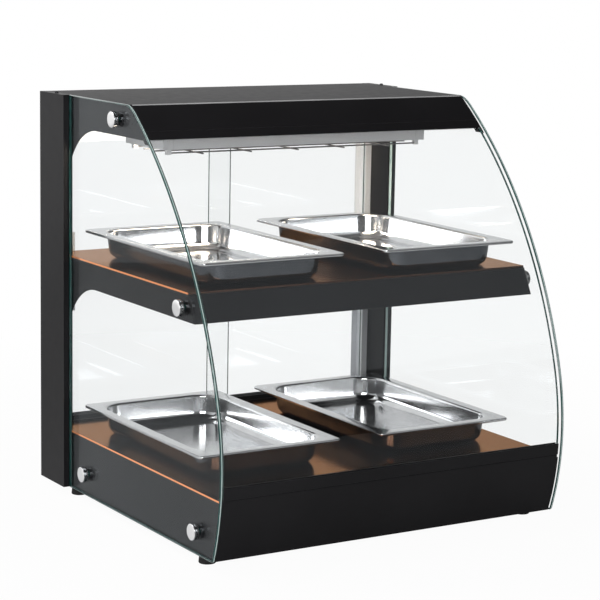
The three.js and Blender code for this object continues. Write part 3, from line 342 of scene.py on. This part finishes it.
SLOT_MATERIAL = {
    "black_paint": PAINT, "heated_plate": PLATE, "stainless": STEEL, "chrome": CHROME,
    "aluminium": ALUMINIUM, "clear_glass": GLASS, "quartz": QUARTZ, "ceramic": CERAMIC,
    "coil_sheath": SHEATH, "black_plastic": PLASTIC, "red_plastic": RED, "amber_plastic": AMBER,
    "rubber": RUBBER,
}
NODE_SLOT = {entry["node"]: entry["material_slot"] for entry in frame["record"]["subparts"]}
NODE_MATERIAL = {"lower_door_track": TRACK, "heater_trough": HEATER_STEEL,
                 "heater_cap_left": HEATER_STEEL, "heater_cap_right": HEATER_STEEL}
for name, obj in nodes.items():
    finish = NODE_MATERIAL.get(name, SLOT_MATERIAL[NODE_SLOT[name]])
    for holder in obj.material_slots:
        holder.material = finish
    if not obj.material_slots:
        obj.data.materials.append(finish)


# Helpers for shapes. Points are in millimetres, with heights above the base's underside.


def added(name, data):
    obj = bpy.data.objects.new(name, data)
    bpy.context.scene.collection.objects.link(obj)
    return obj


def drawn(name, data):
    """The mesh that a curve or a text makes."""
    holder = added(name, data)
    bpy.context.view_layer.update()
    evaluated = holder.evaluated_get(bpy.context.evaluated_depsgraph_get())
    mesh = bpy.data.meshes.new_from_object(evaluated)
    bpy.data.objects.remove(holder)
    return mesh


def polyline(curve, places, closed=False):
    spline = curve.splines.new("POLY")
    spline.points.add(len(places) - 1)
    for point, (x, y, z) in zip(spline.points, places):
        point.co = (x * MM, y * MM, z * MM, 1)
    spline.use_cyclic_u = closed


def rounded(obj, width, angle=35):
    modifier = obj.modifiers.new("edges", "BEVEL")
    modifier.width = width * MM
    modifier.segments = 2
    modifier.limit_method = "ANGLE"
    modifier.angle_limit = math.radians(angle)
    modifier.harden_normals = True


def piece(name, points, faces, body, slot, materials, replaced=(), smooth=30, pick=None):
    """A new piece of the case; pick gives each polygon the number of its material."""
    mesh = bpy.data.meshes.new(name)
    mesh.from_pydata([(x * MM, y * MM, (z + FOOT) * MM) for x, y, z in points], [], faces)
    mesh.validate()
    for material in materials:
        mesh.materials.append(material)
    mesh.update()
    for polygon in mesh.polygons:
        polygon.use_smooth = True
        if pick:
            polygon.material_index = pick(polygon)
    mesh.set_sharp_from_angle(angle=math.radians(smooth))
    obj = added(name, mesh)
    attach(obj, body)
    if replaced:
        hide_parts(*replaced)
    return obj


def skin(rings):
    """The faces between rings of point numbers. A ring of one number is a tip."""
    faces = []
    for a, b in zip(rings, rings[1:]):
        count = max(len(a), len(b))
        for i in range(count):
            after = (i + 1) % count
            if len(a) == 1:
                faces.append((a[0], b[after], b[i]))
            elif len(b) == 1:
                faces.append((a[i], a[after], b[0]))
            else:
                faces.append((a[i], a[after], b[after], b[i]))
    return faces


def along_x(u, v, depth):
    return depth, u, v


def along_y(u, v, depth):
    return u, depth, v


def prism(outline, low, high, place=along_x):
    """Points and faces of an outline, (y, z) or for along_y (x, z), carried from low to high."""
    area = sum(a[0] * b[1] - b[0] * a[1] for a, b in zip(outline, outline[1:] + outline[:1]))
    if area < 0:
        outline = outline[::-1]
    points = [place(u, v, low) for u, v in outline] + [place(u, v, high) for u, v in outline]
    count = len(outline)
    near, far = range(count), range(count, 2 * count)
    faces = [tuple(near)[::-1], tuple(far)] + skin([near, far])
    if place is along_y:
        faces = [face[::-1] for face in faces]
    return points, faces


def lathe(profile, centre, axis, sides=48, shape=None):
    """A turned form. The profile lists (radius, distance along the axis), and shape may vary
    the radius with the angle."""
    axis = Vector(axis).normalized()
    across = axis.orthogonal().normalized()
    other = axis.cross(across)
    points, rings = [], []
    for radius, distance in profile:
        start = len(points)
        base = Vector(centre) + axis * distance
        for i in range(sides if radius else 1):
            angle = 2 * math.pi * i / sides
            reach = radius * (shape(angle, radius) if shape else 1)
            outward = across * math.cos(angle) + other * math.sin(angle)
            points.append(tuple(base + outward * reach))
        rings.append(range(start, len(points)))
    return points, skin(rings)


def rod_profile(radius, length, chamfer):
    return [(0, 0), (radius - chamfer, 0), (radius, chamfer), (radius, length - chamfer),
            (radius - chamfer, length), (0, length)]


def hexagon(angle, radius):
    """For lathe: a six-sided form with its corners at the full radius."""
    return math.cos(math.pi / 6) / math.cos((angle % (math.pi / 3)) - math.pi / 6)


def arc(centre, radius, start, end, steps):
    angles = [math.radians(start + (end - start) * i / steps) for i in range(steps + 1)]
    return [(centre[0] + radius * math.cos(a), centre[1] + radius * math.sin(a)) for a in angles]


def corner_curve(before, corner, after, steps):
    """A smooth curve around a corner, from the point before it to the point after it."""
    shares = [i / steps for i in range(steps + 1)]
    return [tuple((1 - t) ** 2 * a + 2 * t * (1 - t) * b + t * t * c
                  for a, b, c in zip(before, corner, after)) for t in shares]


def merged(parts):
    points, faces = [], []
    for more_points, more_faces in parts:
        shift = len(points)
        points += more_points
        faces += [tuple(i + shift for i in face) for face in more_faces]
    return points, faces


def knobbed_plate(name, node, outline, side, inner, outer, slot, materials, bore, bevel,
                  pick=None):
    """A flat plate at one side of the case, from an outline in (y, z), with rounded edges and
    with bores for the knobs."""
    curve = bpy.data.curves.new(name, "CURVE")
    curve.dimensions = "2D"
    curve.fill_mode = "BOTH"
    sides = 24
    turns = [2 * math.pi * i / sides for i in range(sides)]
    polyline(curve, [(y, z, 0) for y, z in outline], True)
    for y, z in KNOBS.values():
        polyline(curve, [(y + bore * math.cos(a), z + bore * math.sin(a), 0) for a in turns], True)
    curve.extrude = ((outer - inner) / 2 - bevel) * MM
    curve.bevel_depth = bevel * MM
    curve.bevel_resolution = 2
    curve.offset = -bevel * MM
    plate = drawn(name + "_curve", curve)
    middle = side * (inner + outer) / 2
    points = [(v.co.z / MM + middle, v.co.x / MM, v.co.y / MM) for v in plate.vertices]
    faces = [tuple(p.vertices) for p in plate.polygons]
    piece(name, points, faces, "case", slot, materials, [node], 30, pick)


def sheet_profile(name, outline, node, materials, edge=0.35, pick=None):
    """A bent sheet or strip as wide as the body, from its outline in (y, z)."""
    points, faces = prism(outline, -BODY_END, BODY_END)
    sheet = piece(name, points, faces, "case", "black_paint", materials, [node], 20, pick)
    rounded(sheet, edge, 40)


# Pieces


def side_pane(word, side):
    foot_round, top_round, bevel = 5, 14, 1.8
    curve_top = BODY_HEIGHT - top_round
    foot_y, top_y = front_y(0, 0), front_y(BODY_HEIGHT, 0)
    outline = [(COLUMN_FRONT - GAP, 0)]
    outline += corner_curve((foot_y + foot_round, 0), (foot_y, 0),
                            (front_y(foot_round, 0), foot_round), 6)
    outline += front_line(0, foot_round, curve_top, 90)[1:-1]
    outline += corner_curve((front_y(curve_top, 0), curve_top), (top_y, BODY_HEIGHT),
                            (top_y + top_round, BODY_HEIGHT), 10)
    outline += [(COLUMN_FRONT - GAP, BODY_HEIGHT)]

    def pick(polygon):
        """Clear faces, green rounded edges and a pale rim between them. The rear edge is painted
        dark all over on the left pane as painted shade, and pale all over on the right one as
        painted light."""
        across = abs(polygon.normal.x)
        if across > 0.995:
            return 0
        # Painted shade on the left pane's rear edge, painted light on the right pane's rear edge.
        if polygon.center.y > (COLUMN_FRONT - GAP - bevel - 0.1) * MM:
            return 1 if side < 0 else 2
        return 1 if across > 0.03 else 2

    knobbed_plate(f"side_pane_{word}", f"side_glass_{word}", outline, side, GLASS_INNER,
                  GLASS_OUTER, "clear_glass", [GLASS, EDGE, PALE_EDGE], bore=4, bevel=bevel,
                  pick=pick)


def side_frame(word, side):
    """One plate with canopy, shelf and base arms; both windows run out to the front."""
    reach, radius, steps = 97, 118, 24
    tab, chamfer = 22, 6

    def arch(high):
        """The rounded upper rear corner of a window."""
        end = math.asin(reach / radius)
        turns = [end * (1 - i / steps) for i in range(steps + 1)]
        return [(COLUMN_FRONT - reach + radius * math.sin(a), high - radius * (1 - math.cos(a)))
                for a in turns]

    tab_y = front_y(CEILING, FRAME_INSET) + tab
    outline = [(FRAME_REAR, 0)]
    outline += front_line(FRAME_INSET, 0, DECK_ARM, 16)
    outline += [(COLUMN_FRONT, DECK_ARM)]
    outline += arch(SHELF_LOW)
    outline += [(front_y(SHELF_LOW, SHELF_INSET), SHELF_LOW),
                (front_y(SHELF_ARM, SHELF_INSET), SHELF_ARM), (COLUMN_FRONT, SHELF_ARM)]
    outline += arch(CEILING)
    outline += [(tab_y, CEILING), (tab_y - chamfer, CEILING - chamfer)]
    outline += front_line(FRAME_INSET, CEILING - chamfer, BODY_HEIGHT, 16)
    outline += [(FRAME_REAR, BODY_HEIGHT)]
    knobbed_plate(f"frame_plate_{word}", f"side_frame_{word}", outline, side, FRAME_INNER,
                  FRAME_OUTER, "black_paint", [PAINT], bore=3.5, bevel=0.3)


def base_tray():
    flange, bend = 15, 2
    bend_low, top_y = BASE - bend, front_y(BASE, FRAME_INSET)
    outline = [(FRAME_REAR, 0)] + front_line(FRAME_INSET, 0, bend_low, 24)
    outline += corner_curve((front_y(bend_low, FRAME_INSET), bend_low), (top_y, BASE),
                            (top_y + bend, BASE), 5)[1:]
    outline += [(top_y + flange, BASE), (top_y + flange, BASE - SHEET)]
    outline += front_line(FRAME_INSET + SHEET, SHEET, BASE - SHEET, 24)[::-1]
    outline += [(FRAME_REAR, SHEET)]
    sheet_profile("base_fascia", outline, "base_tray", [PAINT])


def canopy_cover():
    foot = CEILING + SHEET + GAP
    bend_low, top_y = BODY_HEIGHT - 1.6, front_y(BODY_HEIGHT, FRAME_INSET)
    outline = [(FRAME_REAR, foot), (FRAME_REAR - SHEET, foot),
               (FRAME_REAR - SHEET, BODY_HEIGHT - SHEET)]
    outline += front_line(FRAME_INSET + SHEET, FASCIA_FOOT, BODY_HEIGHT - SHEET, 10)[::-1]
    outline += front_line(FRAME_INSET, FASCIA_FOOT, bend_low, 10)
    outline += corner_curve((front_y(bend_low, FRAME_INSET), bend_low), (top_y, BODY_HEIGHT),
                            (top_y + 2.5, BODY_HEIGHT), 5)[1:]
    outline += [(FRAME_REAR, BODY_HEIGHT)]

    # The hood's front bend gets the painted highlight colour.
    def on_bend(polygon):
        high = polygon.center.z > (bend_low + FOOT) * MM
        return 1 if high and -0.95 < polygon.normal.y < -0.1 else 0

    sheet_profile("canopy_hood", outline, "canopy_cover", [HOOD_PAINT, HOOD_EDGE_PAINTED_HIGHLIGHT], pick=on_bend)


def glass_holder(name, node, low, height, opens_up, paint):
    """A strip that follows the front curve, with a groove for the front pane."""
    high = low + height
    outer = front_line(HOLDER_INSET, low, high, 8)
    depth = 2 * (HOLDER_WALL + GROOVE_PLAY) + PANE
    inner = front_line(HOLDER_INSET + depth, low, high, 8)
    near, far = PANE_INSET - GROOVE_PLAY, PANE_INSET + PANE + GROOVE_PLAY
    if opens_up:
        floor = low + HOLDER_FLOOR
        outline = outer + front_line(near, floor, high, 8)[::-1]
        outline += front_line(far, floor, high, 8) + inner[::-1]
    else:
        roof = high - HOLDER_FLOOR
        outline = outer[::-1] + front_line(near, low, roof, 8)
        outline += front_line(far, low, roof, 8)[::-1] + inner
    sheet_profile(name, outline, node, [paint], 0.25)


def front_pane():
    low, high = BASE + HOLDER_FLOOR + PANE_PLAY, FASCIA_FOOT - HOLDER_FLOOR - PANE_PLAY
    outer = front_line(PANE_INSET, low, high, 110)
    inner = front_line(PANE_INSET + PANE, low, high, 110)
    points, faces = prism(outer + inner[::-1], -BODY_END, BODY_END)
    obj = piece("front_pane", points, faces, "case", "clear_glass", [GLASS, EDGE],
                ["front_glass"], 20,
                lambda p: 1 if abs(p.normal.x) > 0.9 or abs(p.normal.z) > 0.97 else 0)
    rounded(obj, 0.5, 60)


def door_pane(word, body):
    low, high = (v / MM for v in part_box(f"rear_door_{word}"))
    bottom, top = low.z - FOOT, high.z - FOOT
    outline = [(low.x, bottom), (high.x, bottom), (high.x, top), (low.x, top)]
    points, faces = prism(outline, low.y, high.y, along_y)
    obj = piece(f"door_pane_{word}", points, faces, body, "clear_glass", [GLASS, EDGE],
                [f"rear_door_{word}"], 30, lambda p: 0 if abs(p.normal.y) > 0.9 else 1)
    rounded(obj, 0.6, 60)


def knob(word, side, place_word):
    """A turned knob with its stud through the glass, a nut behind and a gasket under it. Its
    profile runs from the stud's end to the face of the head."""
    y, z = KNOBS[place_word]
    centre, axis = (side * (GLASS_OUTER + GAP), y, z), (side, 0, 0)
    head, neck, stud, stud_end = 13.5, 10.0, 3.0, -26
    profile = [(0, stud_end), (stud - 0.5, stud_end), (stud, stud_end + 0.5), (stud, 0),
               (neck - 0.3, 0), (neck, 0.3), (neck, 1.8)]
    profile += [(head - 0.5, 2.0), (head, 2.5), (head, 7.4)]
    profile += arc((head - 1.8, 7.4), 1.8, 15, 80, 5)
    profile += [(head - 2.6, 9.35), (head - 3.2, 9.5), (6, 9.5), (0, 9.5)]
    turned = lathe(profile, centre, axis, 64)
    nut_flats, nut_height = 10, 5
    nut = lathe(rod_profile(nut_flats / 2 / math.cos(math.pi / 6), nut_height, 0.4),
                (side * (FRAME_INNER - GAP), y, z), (-side, 0, 0), shape=hexagon)
    points, faces = merged([turned, nut])
    # Faces looking along the knob's axis get the lit face copy, the others the darkened side copy:
    # painted light and painted shade.
    piece(f"knob_{place_word}_{word}", points, faces, "case", "chrome", [KNOB_FACE, KNOB_SIDE_PAINTED_SHADE],
          [f"glass_knob_{place_word}_{word}"], 35, lambda p: 0 if abs(p.normal.x) > 0.6 else 1)
    bore, low, high = neck - 3.4, -0.28, 1.75
    gasket = lathe([(bore, low), (neck + 2.2, low), (neck + 2.5, 0.05), (neck + 2.5, 1.4),
                    (neck + 2.1, high), (bore, high), (bore, low)], centre, axis)
    piece(f"knob_gasket_{place_word}_{word}", *gasket, "case", "black_plastic", [PLASTIC])


def pan_ring(half_x, half_y, corner, z, cx, cy):
    """A rectangle with rounded corners of 13 points each, around (cx, cy)."""
    steps = 12
    ring = []
    for quarter, (sx, sy) in enumerate(((1, 1), (-1, 1), (-1, -1), (1, -1))):
        for i in range(steps + 1):
            angle = math.pi / 2 * (quarter + i / steps)
            ring.append((cx + sx * (half_x - corner) + corner * math.cos(angle),
                         cy + sy * (half_y - corner) + corner * math.sin(angle), z))
    return ring


def food_pan(level, word, body):
    """A drawn pan: steep walls, wide corners, a rounded floor edge and a flange with a rolled
    rim. Its path runs from the floor's underside over the rim to the floor's upper side."""
    low, high = (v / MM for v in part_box(f"food_pan_{level}_{word}"))
    cx, cy = (low.x + high.x) / 2, (low.y + high.y) / 2
    bottom = low.z - FOOT
    half_x, half_y, depth = (high.x - low.x) / 2, (high.y - low.y) / 2, high.z - low.z
    sheet, bend, flange, rim = 1.2, 3.0, 16.4, 0.65
    floor_inset, floor_bend, wall_slant = 38, 16, -177
    neck, lip = depth - sheet - bend, depth - 4.0
    path = [(floor_inset, 0)]
    path += arc((floor_inset, floor_bend), floor_bend, -90, wall_slant, 12)[1:] + [(20.7, 26)]
    path += arc((flange, neck), bend, 0, 90, 6)
    path += [(2.6, depth - sheet), (1.5, depth - 1.6), (2 * rim, lip)]
    path += arc((rim, lip), rim, 0, -180, 6)[1:] + [(0, depth - 1.4)]
    path += arc((1.4, depth - 1.4), 1.4, 180, 90, 5)[1:]
    path += arc((flange, neck), bend + sheet, 90, 0, 6)
    path += [(21.9, 26)] + arc((floor_inset + 0.2, 16.2), 15.0, wall_slant, -90, 12)
    rim_corner, wall_corner, wall_inset, floor_share = 9, 42, 19.4, 0.8

    def corner(inset):
        """The corners widen from the rim to the wall, and shrink again down to the floor."""
        if inset < wall_inset:
            return rim_corner + (wall_corner - rim_corner) * inset / wall_inset
        return wall_corner - (inset - wall_inset) * floor_share

    points = []
    for u, v in path:
        points += pan_ring(half_x - u, half_y - u, corner(u), bottom + v, cx, cy)
    count = len(points) // len(path)
    rings = [range(start, start + count) for start in range(0, len(points), count)]
    faces = skin(rings) + [tuple(rings[0])[::-1], tuple(rings[-1])]
    middle = Vector((cx * MM, cy * MM))
    brim = (bottom + neck + FOOT) * MM

    # Outside faces below the brim get the darkened pan steel, which is painted shade.
    def outer(polygon):
        away = (polygon.center.xy - middle).dot(polygon.normal.xy)
        below = away > 0.0005 or polygon.normal.z < -0.5
        return 1 if polygon.center.z < brim and below else 0

    piece(f"pan_{level}_{word}", points, faces, body, "stainless", [PAN_STEEL, PAN_STEEL_PAINTED_SHADE],
          [f"food_pan_{level}_{word}"], 40, outer)


def foot(word):
    low, high = (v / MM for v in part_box(f"foot_{word}"))
    x, y = (low.x + high.x) / 2, (low.y + high.y) / 2
    profile = [(0, -11.2), (5.5, -11.2), (5.5, -15.6), (5.9, -FOOT), (12.0, -FOOT)]
    profile += arc((12.4, -14.5), 1.5, -75, 10, 5)
    profile += [(13.6, -11), (13.2, -7.2), (12.9, -6.6), (12.9, -5.8), (13.1, -5.2),
                (12.6, -1.2), (12.0, -GAP), (2.5, -GAP), (2.5, 6), (0, 6)]
    piece(f"rubber_{word}", *lathe(profile, (x, y, 0), (0, 0, 1), 56), "case", "rubber",
          [RUBBER], [f"foot_{word}"], 35)


def recess(angle, radius):
    """For lathe: six-sided up to the edge of a screw's recess, round outside it."""
    return 1 if radius > 1.35 else hexagon(angle, radius)


def screw(name, place, direction, size, material=DARK_STEEL):
    """A button head with a six-sided recess, standing on a face."""
    r = size / 2
    profile = [(0, 0), (r, 0), (r, 0.16 * size), (r * 0.93, 0.27 * size), (r * 0.7, 0.38 * size),
               (1.6, 0.42 * size), (1.3, 0.42 * size), (1.2, 0.15 * size), (0, 0.12 * size)]
    piece(name, *lathe(profile, place, direction, 36, recess), "case", "chrome", [material],
          smooth=35)


def wires():
    """The heater's guard: long round wires from left to right, lying on short ones across."""
    low, high = (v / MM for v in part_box("wire_guard"))
    radius, first_y, width, cross_step = 1.3, 14, 136, 92
    curve = bpy.data.curves.new("guard_wires", "CURVE")
    curve.dimensions = "3D"
    curve.bevel_depth = radius * MM
    curve.bevel_resolution = 3
    curve.use_fill_caps = True
    runner_z, cross_z = high.z - radius, low.z + radius
    runner_ends, cross_ends = (low.x + 0.4, high.x - 0.4), (low.y + 0.3, high.y - 0.3)
    middle_y = low.y + (high.y - low.y) / 2
    for share in (0.06, 0.35, 0.65, 0.94):
        y = first_y + share * width
        polyline(curve, [(x, y, runner_z) for x in (runner_ends[0], 0, runner_ends[1])])
    for i in range(-2, 3):
        x = i * cross_step
        polyline(curve, [(x, y, cross_z) for y in (cross_ends[0], middle_y, cross_ends[1])])
    curve.materials.append(WIRE)
    obj = added("guard_wires", curve)
    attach(obj, "case")
    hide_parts("wire_guard")


def tube(word):
    low, high = (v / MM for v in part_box(f"quartz_tube_{word}"))
    y, z = (low.y + high.y) / 2, (low.z + high.z) / 2 - FOOT
    profile = rod_profile(5, high.x - low.x, 0.8)
    piece(f"heater_rod_{word}", *lathe(profile, (low.x, y, z), (1, 0, 0), 40), "case", "quartz",
          [QUARTZ], [f"quartz_tube_{word}"], 35)


def dial():
    """A fluted grip on a round skirt. At rest its pointer stands at the lowest number, at the
    lower left seen from behind."""
    x, y, z = centre = (DIAL_X, PANEL_FACE + GAP, CONTROL_Z)
    height, grip = 15, 17.2

    def flute(angle, radius):
        return 1 if radius > grip else 1 - 0.055 * max(math.cos(12 * angle), 0) ** 1.5

    profile = [(0, 0), (20.4, 0), (21, 0.5), (21, 1.6), (20.2, 2.3), (18.2, 3.4), (17.1, 4.2),
               (16.9, 8), (16.3, 13.2), (15.6, 14.4), (14.6, height), (0, height)]
    piece("dial_cap", *lathe(profile, centre, (0, 1, 0), 144, flute), "dial", "black_plastic",
          [PLASTIC], ["thermostat_dial"], 35)
    start, end, half_width = 6, 14, 0.7
    slant = math.radians(45)
    line = [(x + r * math.cos(slant) + w * math.sin(slant),
             z - r * math.sin(slant) + w * math.cos(slant))
            for r, w in ((start, -half_width), (end, -half_width), (end, half_width),
                         (start, half_width))]
    points, faces = prism(line, y + height - 0.05, y + height + 0.15, along_y)
    piece("dial_pointer", points, faces, "dial", "black_plastic", [MARK])


def lamp():
    """A domed lens in a rim, on a neck through the panel."""
    profile = [(0, -11), (5.7, -11), (5.7, 0.3), (8, 0.3), (8, 1.6), (7.6, 2), (6.2, 2), (6, 2.3)]
    profile += [(6 * math.cos(a), 2.4 + 3.6 * math.sin(a))
                for a in (0.1, 0.35, 0.6, 0.85, 1.1, 1.35)]
    profile += [(0, 6)]
    piece("lamp_lens", *lathe(profile, (LAMP_X, PANEL_FACE, CONTROL_Z), (0, 1, 0)), "case",
          "amber_plastic", [AMBER], ["pilot_lamp"], 30)


def label(name, text, x, z, size):
    """A printed figure or word on the rear panel, read from behind."""
    half_thickness, raised = 0.03, 0.05
    font = bpy.data.curves.new(name, "FONT")
    font.body = text
    font.size = size * MM
    font.extrude = half_thickness * MM
    font.align_x = "CENTER"
    font.align_y = "CENTER"
    font.materials.append(INK)
    mesh = drawn(name + "_text", font)
    mesh.transform(Matrix(((-1, 0, 0, x * MM), (0, 0, 1, (PANEL_FACE + raised) * MM),
                           (0, 1, 0, (z + FOOT) * MM), (0, 0, 0, 1))))
    mesh.name = name
    obj = added(name, mesh)
    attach(obj, "case")


for word, side in SIDES:
    side_pane(word, side)
    side_frame(word, side)
    door_pane(word, f"{word}_door")
    for place_word in KNOBS:
        knob(word, side, place_word)
    for level in ("upper", "lower"):
        food_pan(level, word, f"{level}_{word}_pan")
base_tray()
canopy_cover()
glass_holder("top_strip", "upper_glass_holder", FASCIA_FOOT - GAP - TOP_STRIP, TOP_STRIP, False,
             HOOD_PAINT)
glass_holder("bottom_strip", "lower_glass_holder", BASE + GAP, BOTTOM_STRIP, True, PAINT)
front_pane()
for word in ("front_left", "front_right", "rear_left", "rear_right"):
    foot(word)
wires()
tube("front")
tube("rear")
dial()
lamp()

# Widths of the rounded edges of nodes that keep their own mesh
NODE_EDGES = {
    1.0: ("rear_column_left", "rear_column_right"),
    0.6: ("tube_socket_left", "tube_socket_right"),
    0.5: ("shelf_housing", "switch_frame", "lamp_switch_rocker", "heat_switch_rocker",
          "terminal_block", "thermostat_body"),
    0.4: ("base_deck", "shelf_top_plate", "heater_trough", "heater_cap_left",
          "heater_cap_right", "door_grip_left", "door_grip_right"),
    0.35: ("door_jamb_left", "door_jamb_right", "cable_gland"),
    0.3: ("canopy_ceiling", "rear_control_panel", "upper_door_track", "lower_door_track"),
}
for width, names in NODE_EDGES.items():
    for name in names:
        rounded(nodes[name], width)

# Seen from behind, the numbers run around the dial from its lower left to its lower right
NUMBER_RING, NUMBER_SIZE, WORD_RISE, WORD_SIZE = 26.5, 6.0, 21, 5.5
for i in range(6):
    angle = math.radians(-135 + 54 * i)
    label(f"dial_number_{i + 1}", str(i + 1), DIAL_X - NUMBER_RING * math.sin(angle),
          CONTROL_Z + NUMBER_RING * math.cos(angle), NUMBER_SIZE)
label("switch_on", "ON", SWITCH_X, CONTROL_Z + WORD_RISE, WORD_SIZE)
label("switch_off", "OFF", SWITCH_X, CONTROL_Z - WORD_RISE, WORD_SIZE)

SCREW_SINK = 0.05
for word, side in SIDES:
    screw(f"top_screw_{word}", (side * 332.6, 265, BODY_HEIGHT - SCREW_SINK), (0, 0, 1), 6.5)
    for k, z in enumerate((18, 84)):
        screw(f"panel_screw_{word}_{k}", (side * 308, PANEL_FACE - SCREW_SINK, z), (0, 1, 0), 6,
              CHROME)


# Camera, floor, world and lamps, in metres


def photo_camera():
    """The camera at the photograph's place."""
    yaw, pitch, roll = (math.radians(a) for a in (31.551, 9.8406, 1.0525))
    forward = Vector((math.sin(yaw) * math.cos(pitch), math.cos(yaw) * math.cos(pitch),
                      -math.sin(pitch)))
    right = Vector((math.cos(yaw), -math.sin(yaw), 0))
    upward = right.cross(forward)
    turned_right = right * math.cos(roll) + upward * math.sin(roll)
    turned_up = upward * math.cos(roll) - right * math.sin(roll)
    data = bpy.data.cameras.new("camera")
    data.sensor_fit = "HORIZONTAL"
    data.sensor_width = 36
    data.lens = 125.11
    data.clip_end = 200
    camera = added("camera", data)
    place = Matrix((turned_right, turned_up, -forward)).transposed().to_4x4()
    place.translation = (-1.8394, -2.9956, 0.9667)
    camera.matrix_world = place
    bpy.context.scene.camera = camera


def floor_material():
    """A pale floor that the camera sees fade into the white background."""
    s = Surface("pale_floor")
    s.rough(s.noise(8.0), 0.7, 0.8)
    reach = s.add("ShaderNodeVectorMath", {0: s.place}, operation="LENGTH").outputs["Value"]
    outward = s.calc("MULTIPLY_ADD", reach, 0.3, s.spread(s.noise(1.5), -0.02, 0.02))
    s.colour(outward, [(0.18, (0.56, 0.56, 0.56)), (0.5, (0.52, 0.52, 0.52))])
    share = s.calc("MULTIPLY", s.camera_ray(), s.spread(reach, 0.965, 1.0, 0.5, 1.6))
    white = s.add("ShaderNodeEmission", {"Strength": 1.0})
    s.show(s.mix(share, s.shader.outputs["BSDF"], white.outputs["Emission"]))
    return s.material


def floor_disc(radius, sides):
    mesh = bpy.data.meshes.new("floor")
    turns = [2 * math.pi * i / sides for i in range(sides)]
    mesh.from_pydata([(radius * math.cos(a), radius * math.sin(a), 0) for a in turns], [],
                     [tuple(range(sides))])
    mesh.materials.append(floor_material())
    floor = added("floor", mesh)


def studio_world():
    """White to the camera. Other rays find it bright at the rear left, and darker toward the
    front right and below the horizon."""
    world = bpy.data.worlds.new("studio")
    world.use_nodes = True
    bpy.context.scene.world = world
    sky = Tree(world.node_tree)
    white = (1, 1, 1, 1)
    seen = sky.tree.nodes["Background"]
    sky.feed(seen.inputs["Color"], white)
    sky.feed(seen.inputs["Strength"], 1.0)
    direction = sky.add("ShaderNodeTexCoord").outputs["Generated"]
    parts = sky.add("ShaderNodeSeparateXYZ", {"Vector": direction}).outputs
    rear_left = sky.calc("MULTIPLY_ADD", parts["X"], -0.6, parts["Y"])
    level = sky.spread(rear_left, 0.10, 0.95, -0.40, 0.95, interpolation_type="SMOOTHSTEP")
    strength = sky.calc("MULTIPLY", level, sky.spread(parts["Z"], 0.5, 1.0, -0.25, 0.05))
    lit = sky.add("ShaderNodeBackground", {"Color": white, "Strength": strength})
    shown = sky.mix(sky.camera_ray(), lit.outputs["Background"], seen.outputs["Background"])
    sky.feed(sky.tree.nodes["World Output"].inputs["Surface"], shown)


def lamp_panel(name, place, target, size, watts, colour=(1.0, 1.0, 1.0)):
    data = bpy.data.lights.new(name, "AREA")
    data.shape = "RECTANGLE"
    data.size, data.size_y = size
    data.energy = watts
    data.color = colour
    obj = added(name, data)
    obj.location = place
    toward = Vector(target) - Vector(place)
    obj.rotation_euler = toward.to_track_quat("-Z", "Y").to_euler()


photo_camera()
floor_disc(3, 96)
studio_world()
lamp_panel("key_panel", (-1.5, -2.5, 1.3), (0, 0, 0.35), (1.5, 1.5), 55)
lamp_panel("fill_panel", (1.65, -2.2, 2.0), (0.1, -0.2, 0.4), (1.8, 1.8), 5.5)
lamp_panel("top_panel", (-1.3, 0.5, 2.5), (0, 0.1, 0.4), (1.4, 1.2), 26)
lamp_panel("case_light", (0, 0.06, 0.6), (0, 0.24, 0.3), (0.5, 0.08), 1.6, (1.0, 0.86, 0.70))

bpy.context.scene.view_settings.view_transform = "Standard"
